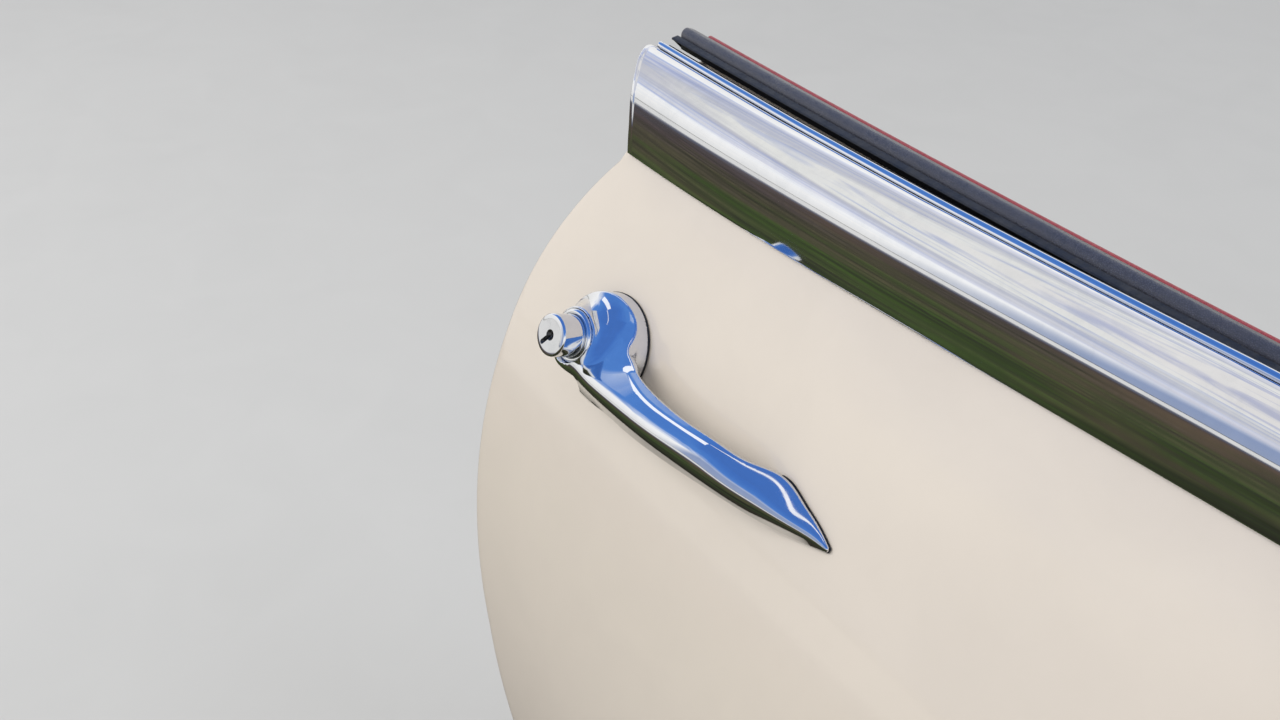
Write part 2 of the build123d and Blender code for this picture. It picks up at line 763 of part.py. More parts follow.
if __name__ == "__main__":
    os.makedirs("parts", exist_ok=True)
    makers = [
        outer_skin,
        inner_shell,
        waist_capping,
        waist_bead,
        outer_waist_seal,
        door_glass,
        waist_rail,
        trim_piping,
        trim_casing,
        casing_moulding,
        winder_arm,
        winder_knob,
        release_lever,
        hinge_post_leaf,
        hinge_door_leaf,
        hinge_pin,
        handle_body,
        rear_gasket,
        front_gasket,
        barrel_seat,
        lock_barrel,
        latch_plate,
        latch_rotor,
        latch_dovetail,
        door_seal,
    ]
    for maker in makers:
        write(maker.__name__, maker())
    write("winder_escutcheon", escutcheon(winder_x, winder_z, winder_boss_radius))
    write("release_escutcheon", escutcheon(release_x, release_z, release_boss_radius))
    for name, drop in zip(("upper_buffer", "lower_buffer"), buffer_drops):
        write(name, door_buffer(skin_top_z - drop))
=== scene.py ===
from math import asin, cos, pi, radians, sin, sqrt

import bmesh
import bpy
import numpy as np
from mathutils import Matrix, Vector


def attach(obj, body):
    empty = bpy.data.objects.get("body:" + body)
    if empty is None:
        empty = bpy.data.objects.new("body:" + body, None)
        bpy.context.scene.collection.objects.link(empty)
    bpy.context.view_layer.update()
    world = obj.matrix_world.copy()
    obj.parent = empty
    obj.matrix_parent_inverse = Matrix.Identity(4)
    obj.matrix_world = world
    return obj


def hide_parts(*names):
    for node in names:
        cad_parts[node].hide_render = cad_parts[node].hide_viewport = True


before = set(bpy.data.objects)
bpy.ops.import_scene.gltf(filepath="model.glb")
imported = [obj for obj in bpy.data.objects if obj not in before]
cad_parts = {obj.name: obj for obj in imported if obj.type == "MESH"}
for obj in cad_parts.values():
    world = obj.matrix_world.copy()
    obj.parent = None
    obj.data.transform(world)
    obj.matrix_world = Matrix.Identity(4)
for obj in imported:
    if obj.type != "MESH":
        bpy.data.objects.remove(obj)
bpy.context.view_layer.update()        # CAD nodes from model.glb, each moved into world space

# Lengths are millimetres here and become metres in makeMesh.
# Body side: one section arc, turned about an upright axis far inside the car
bodySide = {
    "sectionRadius": 470.0,
    "middleZ": -60.0,
    "outermostY": -115.0,
    "planRadius": 6000.0,
    "widestX": -700.0,
}
# Door outline in side view, (x, z), and the slant of the waist's rear ends
outline = {
    "heel": (-557.5, -214.0),
    "quarter": (-805.0, -112.0),
    "hip": (-880.0, -6.5),
    "lowerFlank": (-913.0, 70.0),
    "bulge": (-924.0, 146.0),
    "upperFlank": (-916.5, 204.0),
    "lip": (-900.0, 237.0),
    "slant": 0.40,
    "frontX": -28.0,
    "cornerRadius": 34.0,
    "skinTopZ": 262.0,
}


def skinV(z, depth=0.0):
    radius = bodySide["sectionRadius"] - depth
    return bodySide["sectionRadius"] - np.sqrt(radius**2 - (np.asarray(z) - bodySide["middleZ"]) ** 2)


def bodyPoints(x, v, z):
    # x along the car, v inward from the outermost line, z up
    x, v, z = np.broadcast_arrays(np.asarray(x, float), np.asarray(v, float), np.asarray(z, float))
    radius = bodySide["planRadius"] - v
    y = bodySide["outermostY"] + bodySide["planRadius"] - np.sqrt(radius**2 - (x - bodySide["widestX"]) ** 2)
    return np.stack([x, y, z], -1)


def slantX(z):
    # Where the waist's pieces end at the rear
    return outline["lip"][0] - outline["slant"] * (np.asarray(z) - outline["lip"][1])


# Small curve tools, all in a flat plane
def easeIn(value):
    value = np.clip(value, 0, 1)
    return value**2 * (3 - 2 * value)


def arcTangent(start, end, tangent, count):
    # Arc that leaves start along tangent and ends at end; also gives its last direction
    start, end = np.array(start, float), np.array(end, float)
    chord = end - start
    first = np.arctan2(tangent[1], tangent[0])
    turn = np.arctan2(chord[1], chord[0]) - first
    turn = (turn + pi) % (2 * pi) - pi
    share = np.linspace(0, 1, count)
    if abs(turn) < 1e-6:
        reach, heading = share, np.full(count, first)
    else:
        reach, heading = np.sin(turn * share) / sin(turn), first + turn * share
    length = np.hypot(*chord)
    points = start + (length * reach)[:, None] * np.stack([np.cos(heading), np.sin(heading)], 1)
    last = first + 2 * turn
    return points, (cos(last), sin(last))


def arcThrough(start, middle, end, count):
    (ax, ay), (bx, by), (cx, cy) = start, middle, end
    d = 2 * (ax * (by - cy) + bx * (cy - ay) + cx * (ay - by))
    ux = ((ax**2 + ay**2) * (by - cy) + (bx**2 + by**2) * (cy - ay) + (cx**2 + cy**2) * (ay - by)) / d
    uy = ((ax**2 + ay**2) * (cx - bx) + (bx**2 + by**2) * (ax - cx) + (cx**2 + cy**2) * (bx - ax)) / d
    angles = np.unwrap([np.arctan2(p[1] - uy, p[0] - ux) for p in (start, middle, end)])
    a = np.linspace(angles[0], angles[2], count)
    radius = np.hypot(ax - ux, ay - uy)
    return np.stack([ux + radius * np.cos(a), uy + radius * np.sin(a)], 1)


def joinRuns(*runs):
    points = np.concatenate([np.atleast_2d(np.array(run, float)) for run in runs])
    keep = [0]
    for index in range(1, len(points)):
        if np.hypot(*(points[index] - points[keep[-1]])) > 1e-4:
            keep.append(index)
    if np.hypot(*(points[keep[-1]] - points[0])) < 1e-4:
        keep.pop()
    return points[keep]


def softenCorners(points, radius, steps=5, sharp=20.0):
    # Rounds each corner of a closed run that turns by more than sharp degrees
    made = []
    count = len(points)
    for index in range(count):
        before, here, after = points[index - 1], points[index], points[(index + 1) % count]
        a, b = before - here, after - here
        la, lb = np.hypot(*a), np.hypot(*b)
        turn = pi - np.arccos(np.clip(np.dot(a, b) / (la * lb), -1, 1))
        if turn < radians(sharp):
            made.append(here)
            continue
        cut = min(radius * np.tan(turn / 2), 0.45 * la, 0.45 * lb)
        p, q = here + a / la * cut, here + b / lb * cut
        share = np.linspace(0, 1, steps)[:, None]
        made.extend((1 - share) ** 2 * p + 2 * share * (1 - share) * here + share**2 * q)
    return np.array(made)


def spacedAlong(points, count):
    # Evenly spaced points on an open run
    steps = np.hypot(*np.diff(points, axis=0).T)
    along = np.concatenate([[0], np.cumsum(steps)])
    wanted = np.linspace(0, along[-1], count)
    return np.stack([np.interp(wanted, along, points[:, k]) for k in range(points.shape[1])], 1)


def rearCurve(inset, lowZ, topZ, count):
    # The door's rear edge from lowZ up to topZ, drawn in by inset
    o = outline
    high = (float(slantX(400)), 400.0)
    run = np.concatenate([
        arcThrough(o["heel"], o["quarter"], o["hip"], 300)[:-1],
        arcThrough(o["hip"], o["lowerFlank"], o["bulge"], 200)[:-1],
        arcThrough(o["bulge"], o["upperFlank"], o["lip"], 150)[:-1],
        np.linspace(o["lip"], high, 200),
    ])
    along = np.gradient(run, axis=0)
    along /= np.hypot(*along.T)[:, None]
    inner = run + inset * np.stack([along[:, 1], -along[:, 0]], 1)
    z = np.linspace(lowZ, topZ, 900)
    return spacedAlong(np.stack([np.interp(z, inner[:, 1], inner[:, 0]), z], 1), count)


def doorEdges(inset, lowZ, topZ, rows, columns):
    # Four border runs: bottom, top, rear and front
    o = outline
    centre = (o["frontX"] - o["cornerRadius"], o["heel"][1] + o["cornerRadius"])
    radius = o["cornerRadius"] - inset
    split = -45.0 if lowZ <= o["heel"][1] + inset + 0.01 else np.degrees(asin((lowZ - centre[1]) / radius))
    rear = rearCurve(inset, lowZ, topZ, rows)
    low = np.radians(np.linspace(-90, split, 24))
    high = np.radians(np.linspace(split, 0, 24))
    ring = lambda a: np.stack([centre[0] + radius * np.cos(a), centre[1] + radius * np.sin(a)], 1)
    front = spacedAlong(np.concatenate([ring(high), [(o["frontX"] - inset, topZ)]]), rows)
    if split == -45.0:
        bottom = spacedAlong(np.concatenate([[rear[0]], ring(low)]), columns)
    else:
        bottom = spacedAlong(np.array([rear[0], front[0]]), columns)
    top = spacedAlong(np.array([rear[-1], front[-1]]), columns)
    return bottom, top, rear, front


def coonsGrid(bottom, top, rear, front):
    # Structured grid of (x, z) between four border runs, rows upward
    s = np.linspace(0, 1, len(bottom))[None, :, None]
    t = np.linspace(0, 1, len(rear))[:, None, None]
    ruled = (1 - t) * bottom[None] + t * top[None] + (1 - s) * rear[:, None] + s * front[:, None]
    corners = (1 - s) * (1 - t) * bottom[0] + s * (1 - t) * bottom[-1] + (1 - s) * t * top[0] + s * t * top[-1]
    return ruled - corners


def borderLoop(rows, columns):
    # Indices of a grid's border, once round
    grid = np.arange(rows * columns).reshape(rows, columns)
    return np.concatenate([grid[0, :-1], grid[:-1, -1], grid[-1, :0:-1], grid[:0:-1, 0]])


def outwardMitre(loop):
    # Outward offset direction at each point of an anticlockwise (x, z) loop
    a = loop - np.roll(loop, 1, 0)
    b = np.roll(loop, -1, 0) - loop
    na = np.stack([a[:, 1], -a[:, 0]], 1) / np.hypot(*a.T)[:, None]
    nb = np.stack([b[:, 1], -b[:, 0]], 1) / np.hypot(*b.T)[:, None]
    return (na + nb) / (1 + np.sum(na * nb, 1))[:, None]


# Mesh tools
def gridFaces(rows, columns, wrap=False, start=0, flip=False):
    grid = np.arange(start, start + rows * columns).reshape(rows, columns)
    if wrap:
        grid = np.concatenate([grid, grid[:, :1]], 1)
    a, b, c, d = grid[:-1, :-1], grid[:-1, 1:], grid[1:, 1:], grid[1:, :-1]
    faces = np.stack([a, b, c, d], -1).reshape(-1, 4)
    return faces[:, ::-1] if flip else faces


def bridge(one, two):
    # Faces between two closed rings of point numbers
    return np.stack([one, np.roll(one, -1), np.roll(two, -1), two], 1).tolist()


def makeMesh(name, points, faces, material, outward=True, normals=None):
    mesh = bpy.data.meshes.new(name)
    mesh.from_pydata((np.asarray(points).reshape(-1, 3) * 0.001).tolist(), [], [list(map(int, f)) for f in faces])
    mesh.materials.append(material)
    if outward:
        tidyMesh(mesh)
    mesh.shade_smooth()
    if normals is not None:
        mesh.normals_split_custom_set_from_vertices(normals.tolist())
    piece = bpy.data.objects.new(name, mesh)
    bpy.context.scene.collection.objects.link(piece)
    return piece


def tidyMesh(mesh, distance=1e-7):
    # Merges doubles, then turns every face outward
    work = bmesh.new()
    work.from_mesh(mesh)
    bmesh.ops.remove_doubles(work, verts=work.verts, dist=distance)
    bmesh.ops.dissolve_degenerate(work, edges=work.edges, dist=distance)
    bmesh.ops.recalc_face_normals(work, faces=work.faces)
    work.to_mesh(mesh)
    work.free()


def applyModifiers(piece):
    # The evaluated mesh becomes the piece's own, without modifiers
    graph = bpy.context.evaluated_depsgraph_get()
    mesh = bpy.data.meshes.new_from_object(piece.evaluated_get(graph), depsgraph=graph)
    piece.modifiers.clear()
    piece.data = mesh


def evenShading(piece):
    # Weighted normals keep broad faces flat beside small roundings
    piece.data.set_sharp_from_angle(angle=radians(42))
    work = piece.modifiers.new("weightedNormal", "WEIGHTED_NORMAL")
    work.weight, work.keep_sharp = 80, True
    applyModifiers(piece)


def settle(piece, body, slot, *nodes):
    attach(piece, body)
    if nodes:
        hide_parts(*nodes)


def closedSweep(name, sections, material):
    # sections: (stations, points round, 3); both ends get a flat cap
    count, around = sections.shape[:2]
    faces = gridFaces(count, around, wrap=True).tolist()
    faces += [list(range(around)), [(count - 1) * around + k for k in range(around)]]
    return makeMesh(name, sections, faces, material)


def waistStrip(name, profile, material, spacing=6.0, endRadius=1.0, frontX=-48.0, rearward=0.0, liftAbove=None):
    # A closed (v, z) profile carried along the waist, with rounded ends cut to the slant
    along = np.gradient(np.concatenate([profile[-1:], profile, profile[:1]]), axis=0)[1:-1]
    along /= np.hypot(*along.T)[:, None]
    if np.sum(profile[:, 0] * np.roll(profile[:, 1], -1) - np.roll(profile[:, 0], -1) * profile[:, 1]) < 0:
        along = -along
    inward = np.stack([-along[:, 1], along[:, 0]], 1)
    angles = np.radians(np.linspace(90, 0, 7))
    ends = [(endRadius * (1 - sin(a)), endRadius * (1 - cos(a))) for a in angles]
    length = frontX - float(slantX(profile[:, 1].mean())) + rearward
    middle = np.arange(3 * endRadius, length - 3 * endRadius, spacing)
    stations = ends + [(d, 0.0) for d in middle] + [(length - d, inset) for d, inset in reversed(ends)]
    rings = []
    for distance, inset in stations:
        ring = profile + inward * inset
        rear = slantX(ring[:, 1]) - rearward
        x = rear + (frontX - rear) * (distance / length)
        z = ring[:, 1] if liftAbove is None else ring[:, 1] + topLift(x) * (ring[:, 1] > liftAbove)
        rings.append(bodyPoints(x, ring[:, 0], z))
    return closedSweep(name, np.array(rings), material)


def lathe(name, profile, place, material, around=96):
    # profile of (radius, height) from the axis out and back; place carries it to the part
    angles = np.linspace(0, 2 * pi, around, endpoint=False)
    radius, height = np.array(profile, float).T
    ring = np.stack([
        radius[:, None] * np.cos(angles),
        radius[:, None] * np.sin(angles),
        np.repeat(height[:, None], around, 1),
    ], -1)
    points = ring.reshape(-1, 3) @ place[0].T + place[1]
    return makeMesh(name, points, gridFaces(len(radius), around, wrap=True), material)


def softProfile(corners, radius, steps=5):
    # Open run of (radius, height) corners with each inner corner rounded
    points = [np.array(corners[0], float)]
    for before, here, after in zip(corners, corners[1:], corners[2:]):
        before, here, after = (np.array(p, float) for p in (before, here, after))
        a, b = before - here, after - here
        la, lb = np.hypot(*a), np.hypot(*b)
        cut = min(radius, 0.45 * la, 0.45 * lb)
        p, q = here + a / la * cut, here + b / lb * cut
        share = np.linspace(0, 1, steps)[:, None]
        points.extend((1 - share) ** 2 * p + 2 * share * (1 - share) * here + share**2 * q)
    points.append(np.array(corners[-1], float))
    return np.array(points)


def turnedPiece(name, corners, radius, place, slot, *nodes, around=72, steps=5, even=True):
    piece = lathe(name, softProfile(corners, radius, steps), place, finishes[slot], around)
    if even:
        evenShading(piece)
    settle(piece, "door", slot, *nodes)


# Material tools
def addNode(tree, kind, inputs=None, **settings):
    made = tree.nodes.new(kind)
    for name, value in settings.items():
        setattr(made, name, value)
    for name, value in (inputs or {}).items():
        if isinstance(value, bpy.types.NodeSocket):
            tree.links.new(value, made.inputs[name])
        else:
            made.inputs[name].default_value = value
    return made


def mixColours(tree, factor, first, second, blend="MIX"):
    made = addNode(tree, "ShaderNodeMix", {0: factor, 6: first, 7: second}, data_type="RGBA", blend_type=blend)
    return made.outputs[2]


def rangeOf(tree, value, low, high, fromLow=0.0, fromHigh=1.0):
    made = addNode(
        tree, "ShaderNodeMapRange",
        {"Value": value, "From Min": fromLow, "From Max": fromHigh, "To Min": low, "To Max": high},
    )
    return made.outputs["Result"]


def mathOf(tree, operation, first, second):
    return addNode(tree, "ShaderNodeMath", {0: first, 1: second}, operation=operation).outputs[0]


def noiseOf(tree, vector, scale, detail=2.0, **more):
    facts = {"Vector": vector, "Scale": scale, "Detail": detail, **more}
    return addNode(tree, "ShaderNodeTexNoise", facts).outputs["Fac"]


def stretched(tree, vector, scale, **more):
    return addNode(tree, "ShaderNodeMapping", {"Vector": vector, "Scale": scale, **more}).outputs[0]


def colourRamp(tree, factor, stops):
    ramp = addNode(tree, "ShaderNodeValToRGB", {"Fac": factor})
    band = ramp.color_ramp
    while len(band.elements) < len(stops):
        band.elements.new(0.5)
    for element, (place, colour) in zip(band.elements, stops):
        element.position, element.color = place, colour + (1,)
    return ramp.outputs["Color"]


def newGroup(name, inputs, outputs):
    tree = bpy.data.node_groups.new(name, "ShaderNodeTree")
    for label, kind, value in inputs:
        socket = tree.interface.new_socket(name=label, in_out="INPUT", socket_type=kind)
        if value is not None:
            socket.default_value = value
    for label, kind in outputs:
        tree.interface.new_socket(name=label, in_out="OUTPUT", socket_type=kind)
    return tree, tree.nodes.new("NodeGroupInput").outputs, tree.nodes.new("NodeGroupOutput").inputs


def makeSmudges():
    # Faint cloudy mask with finer streaks in it, for gloss that isn't quite even
    tree, given, out = newGroup(
        "smudges",
        [("Vector", "NodeSocketVector", None), ("Scale", "NodeSocketFloat", 20.0)],
        [("Mask", "NodeSocketFloat")],
    )
    broad = noiseOf(tree, given["Vector"], given["Scale"], 5.0, Roughness=0.6)
    small = noiseOf(tree, given["Vector"], mathOf(tree, "MULTIPLY", given["Scale"], 7.0), 3.0, Distortion=0.8)
    both = mathOf(tree, "MULTIPLY", broad, small)
    tree.links.new(rangeOf(tree, both, 0.0, 1.0, 0.12, 0.42), out["Mask"])
    return tree


def makeScratches():
    # Hairline marks that run mostly one way
    tree, given, out = newGroup(
        "hairlines",
        [("Vector", "NodeSocketVector", None), ("Scale", "NodeSocketFloat", 300.0), ("Amount", "NodeSocketFloat", 0.3)],
        [("Height", "NodeSocketFloat")],
    )
    drawn = stretched(tree, given["Vector"], (0.06, 1.0, 1.0), Rotation=(0.3, 0.2, 0.5))
    thin = rangeOf(tree, noiseOf(tree, drawn, given["Scale"]), 0.0, 1.0, 0.62, 0.72)
    tree.links.new(mathOf(tree, "MULTIPLY", thin, given["Amount"]), out["Height"])
    return tree


def makeHideGrain():
    # Pebbled grain of vinyl or hide: cells with worn tops, and soft creases
    tree, given, out = newGroup(
        "hideGrain",
        [("Vector", "NodeSocketVector", None), ("Scale", "NodeSocketFloat", 900.0), ("Crease", "NodeSocketFloat", 0.3)],
        [("Height", "NodeSocketFloat"), ("Valley", "NodeSocketFloat")],
    )
    warp = addNode(tree, "ShaderNodeTexNoise", {"Vector": given["Vector"], "Scale": 140.0, "Detail": 2.0})
    shifted = addNode(tree, "ShaderNodeVectorMath", {0: warp.outputs["Color"], "Scale": 0.0009}, operation="SCALE")
    moved = addNode(tree, "ShaderNodeVectorMath", {0: given["Vector"], 1: shifted.outputs[0]}, operation="ADD")
    spots = {"Vector": moved.outputs[0], "Scale": given["Scale"]}
    cells = addNode(tree, "ShaderNodeTexVoronoi", spots, feature="DISTANCE_TO_EDGE")
    pebble = rangeOf(tree, cells.outputs["Distance"], 0.0, 1.0, 0.0, 0.35)
    crease = noiseOf(tree, given["Vector"], 45.0, 6.0, Roughness=0.65)
    folded = mathOf(tree, "MULTIPLY", crease, given["Crease"])
    tree.links.new(mathOf(tree, "ADD", pebble, folded), out["Height"])
    tree.links.new(mathOf(tree, "SUBTRACT", 1.0, pebble), out["Valley"])
    return tree


def makeDust():
    # Fine dust that lies on upward faces
    tree, given, out = newGroup(
        "lyingDust",
        [("Vector", "NodeSocketVector", None), ("Amount", "NodeSocketFloat", 0.3), ("Scale", "NodeSocketFloat", 60.0)],
        [("Mask", "NodeSocketFloat")],
    )
    facing = addNode(tree, "ShaderNodeNewGeometry")
    parts = addNode(tree, "ShaderNodeSeparateXYZ", {0: facing.outputs["Normal"]})
    upward = rangeOf(tree, parts.outputs["Z"], 0.0, 1.0, 0.2, 0.95)
    noise = noiseOf(tree, given["Vector"], given["Scale"], 8.0, Roughness=0.75)
    lying = mathOf(tree, "MULTIPLY", upward, rangeOf(tree, noise, 0.0, 1.0, 0.42, 0.72))
    tree.links.new(mathOf(tree, "MULTIPLY", lying, given["Amount"]), out["Mask"])
    return tree


smudges = makeSmudges()
hairlines = makeScratches()
hideGrain = makeHideGrain()
lyingDust = makeDust()


def newMaterial(name, **sockets):
    material = bpy.data.materials.new(name)
    material.use_nodes = True
    tree = material.node_tree
    shader = tree.nodes["Principled BSDF"]
    for label, value in sockets.items():
        shader.inputs[label.replace("_", " ")].default_value = value
    place = addNode(tree, "ShaderNodeTexCoord").outputs["Object"]
    return material, tree, shader.inputs, place


def useGroup(tree, group, **values):
    made = tree.nodes.new("ShaderNodeGroup")
    made.node_tree = group
    for label, value in values.items():
        if isinstance(value, bpy.types.NodeSocket):
            tree.links.new(value, made.inputs[label])
        else:
            made.inputs[label].default_value = value
    return made.outputs


def addBump(tree, shaderInputs, height, strength, distance):
    bump = addNode(tree, "ShaderNodeBump", {"Height": height, "Strength": strength, "Distance": distance})
    tree.links.new(bump.outputs["Normal"], shaderInputs["Normal"])


def plainFinish(name, clouds, colours, roughness, bump=None, dust=None, dusted=None, grime=None, **sockets):
    # Cloudy colour and gloss, with dust or grime over it and a fine bump of noise or hairlines
    material, tree, shader, place = newMaterial(name, **sockets)
    cloud = useGroup(tree, smudges, Vector=place, Scale=clouds)["Mask"]
    colour = mixColours(tree, cloud, *(c + (1,) for c in colours))
    if dust:
        amount, scale, dustColour = dust
        mask = useGroup(tree, lyingDust, Vector=place, Amount=amount, Scale=scale)["Mask"]
        colour = mixColours(tree, mask, colour, dustColour + (1,))
        for label, (clean, dull) in (dusted or {}).items():
            tree.links.new(rangeOf(tree, mask, clean, dull), shader[label])
    if grime:
        spots = noiseOf(tree, place, 90.0, 6.0, Roughness=0.7)
        colour = mixColours(tree, rangeOf(tree, spots, 0.0, 0.55, 0.52, 0.75), colour, grime + (1,))
    tree.links.new(colour, shader["Base Color"])
    tree.links.new(rangeOf(tree, cloud, *roughness), shader["Roughness"])
    if bump:
        kind, scale, third, strength, distance = bump
        if kind == "noise":
            height = noiseOf(tree, place, scale, third)
        else:
            height = useGroup(tree, hairlines, Vector=place, Scale=scale, Amount=third)["Height"]
        addBump(tree, shader, height, strength, distance)
    return material


def grainedVinyl(name, deep, raised, roughness, scale, strength=0.35):
    material, tree, shader, place = newMaterial(name, IOR=1.5, Sheen_Weight=0.1, Sheen_Roughness=0.5)
    grain = useGroup(tree, hideGrain, Vector=place, Scale=scale, Crease=0.35)
    cloud = useGroup(tree, smudges, Vector=place, Scale=14.0)["Mask"]
    worn = mixColours(tree, cloud, raised + (1,), tuple(0.8 * c for c in raised) + (1,))
    coloured = mixColours(tree, grain["Valley"], worn, deep + (1,))
    dust = useGroup(tree, lyingDust, Vector=place, Amount=0.08, Scale=150.0)["Mask"]
    tree.links.new(mixColours(tree, dust, coloured, (0.30, 0.27, 0.24, 1)), shader["Base Color"])
    tree.links.new(rangeOf(tree, cloud, *roughness), shader["Roughness"])
    addBump(tree, shader, grain["Height"], strength, 0.0002)
    return material


def waxedThread():
    material, tree, shader, place = newMaterial("waxedThread", IOR=1.5, Sheen_Weight=0.3)
    wave = {"Vector": place, "Scale": 900.0, "Distortion": 1.0}
    ply = addNode(tree, "ShaderNodeTexWave", wave, bands_direction="DIAGONAL").outputs["Fac"]
    colour = mixColours(tree, ply, (0.16, 0.012, 0.014, 1), (0.30, 0.035, 0.035, 1))
    tree.links.new(colour, shader["Base Color"])
    tree.links.new(rangeOf(tree, ply, 0.55, 0.75), shader["Roughness"])
    addBump(tree, shader, ply, 0.4, 0.0001)
    return material


# Finish of each slot: scale of its clouds, the two colours they mix, roughness, then bump and dust
finishes = {
    "body_paint": plainFinish(
        "creamPaint", 3.0, ((0.69, 0.63, 0.56), (0.665, 0.607, 0.54)), (0.30, 0.38),
        bump=("noise", 260.0, 1.5, 0.08, 0.0002), dust=(0.10, 90.0, (0.55, 0.50, 0.42)),
        dusted={"Coat Weight": (0.85, 0.5)}, IOR=1.5, Coat_Roughness=0.03, Coat_IOR=1.5,
    ),
    "chrome": plainFinish(
        "chromePlate", 24.0, ((0.80, 0.81, 0.83), (0.74, 0.755, 0.78)), (0.025, 0.075),
        bump=("hairlines", 520.0, 0.4, 0.05, 0.00005), IOR=2.5, Metallic=1.0,
    ),
    "rubber": plainFinish(
        "weatherRubber", 60.0, ((0.013, 0.013, 0.014),) * 2, (0.42, 0.62),
        bump=("noise", 900.0, 4.0, 0.25, 0.0002), dust=(0.35, 120.0, (0.10, 0.095, 0.085)), IOR=1.52,
    ),
    "rail_vinyl": grainedVinyl("slateVinyl", (0.034, 0.036, 0.048), (0.078, 0.083, 0.115), (0.24, 0.36), 1500.0),
    "red_piping": grainedVinyl("redPiping", (0.26, 0.030, 0.034), (0.55, 0.085, 0.10), (0.36, 0.5), 2200.0),
    "red_trim": grainedVinyl("redTrim", (0.085, 0.007, 0.008), (0.19, 0.016, 0.018), (0.34, 0.5), 850.0, 0.5),
    "glass": plainFinish(
        "windowGlass", 8.0, ((0.90, 0.95, 0.93), (0.86, 0.92, 0.90)), (0.0, 0.06),
        IOR=1.52, Transmission_Weight=1.0, Metallic=0.0,
    ),
    "hinge_paint": plainFinish(
        "hingePaint", 30.0, ((0.62, 0.56, 0.49), (0.53, 0.475, 0.41)), (0.28, 0.5),
        bump=("noise", 320.0, 3.0, 0.18, 0.0003), grime=(0.10, 0.08, 0.06), IOR=1.5,
    ),
    "steel": plainFinish(
        "zincSteel", 45.0, ((0.62, 0.61, 0.57), (0.47, 0.46, 0.44)), (0.24, 0.42),
        bump=("hairlines", 700.0, 0.6, 0.2, 0.0001), dust=(0.25, 200.0, (0.30, 0.26, 0.21)),
        dusted={"Metallic": (1.0, 0.7)}, IOR=2.5,
    ),
    "knob_black": plainFinish(
        "mouldedBlack", 70.0, ((0.012, 0.012, 0.013), (0.022, 0.021, 0.02)), (0.18, 0.34),
        bump=("hairlines", 600.0, 0.7, 0.1, 0.0001), IOR=1.55, Coat_Roughness=0.08,
    ),
}
threadFinish = waxedThread()
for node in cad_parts.values():
    for index, given in enumerate(node.data.materials):
        node.data.materials[index] = finishes[given.name.split(".")[0]]
print("finishes made")


# Camera, floor and light
def placeCamera():
    view = {"place": (-0.3937, -0.3403, 0.5378), "lens": 38.81, "sensor": 36.0}
    right = Vector((0.56136, 0.82757, 0.0)).normalized()
    look = Vector((-0.67956, 0.46096, -0.57071)).normalized()
    up = right.cross(look)
    data = bpy.data.cameras.new("photoView")
    data.lens, data.sensor_width = view["lens"], view["sensor"]
    data.clip_start, data.clip_end = 0.02, 60.0
    camera = bpy.data.objects.new("photoView", data)
    turned = Matrix((right, up, -look)).transposed().to_4x4()
    camera.matrix_world = Matrix.Translation(view["place"]) @ turned
    bpy.context.scene.collection.objects.link(camera)
    bpy.context.scene.camera = camera


def skyRamp(tree, height, stops):
    # Stops by height, -1 straight down and 1 straight up
    share = rangeOf(tree, height, 0.0, 1.0, -1.0, 1.0)
    return colourRamp(tree, share, [((place + 1) / 2, colour) for place, colour in stops])


def unevenHeight(tree, aim):
    # Height of a direction, 1 straight up, with the edge of the clouds wandering a little
    parts = addNode(tree, "ShaderNodeSeparateXYZ", {0: aim}).outputs
    patches = noiseOf(tree, stretched(tree, aim, (1.0, 1.0, 2.6)), 2.4, 5.0, Roughness=0.55)
    lifted = mathOf(tree, "ADD", parts["Z"], rangeOf(tree, patches, -0.10, 0.10, 0.3, 0.7))
    upward = rangeOf(tree, parts["Z"], 0.0, 1.0, 0.05, 0.35)
    mixed = addNode(tree, "ShaderNodeMix", {0: upward, 2: parts["Z"], 3: lifted}, data_type="FLOAT")
    return mixed.outputs[0], parts["Y"]


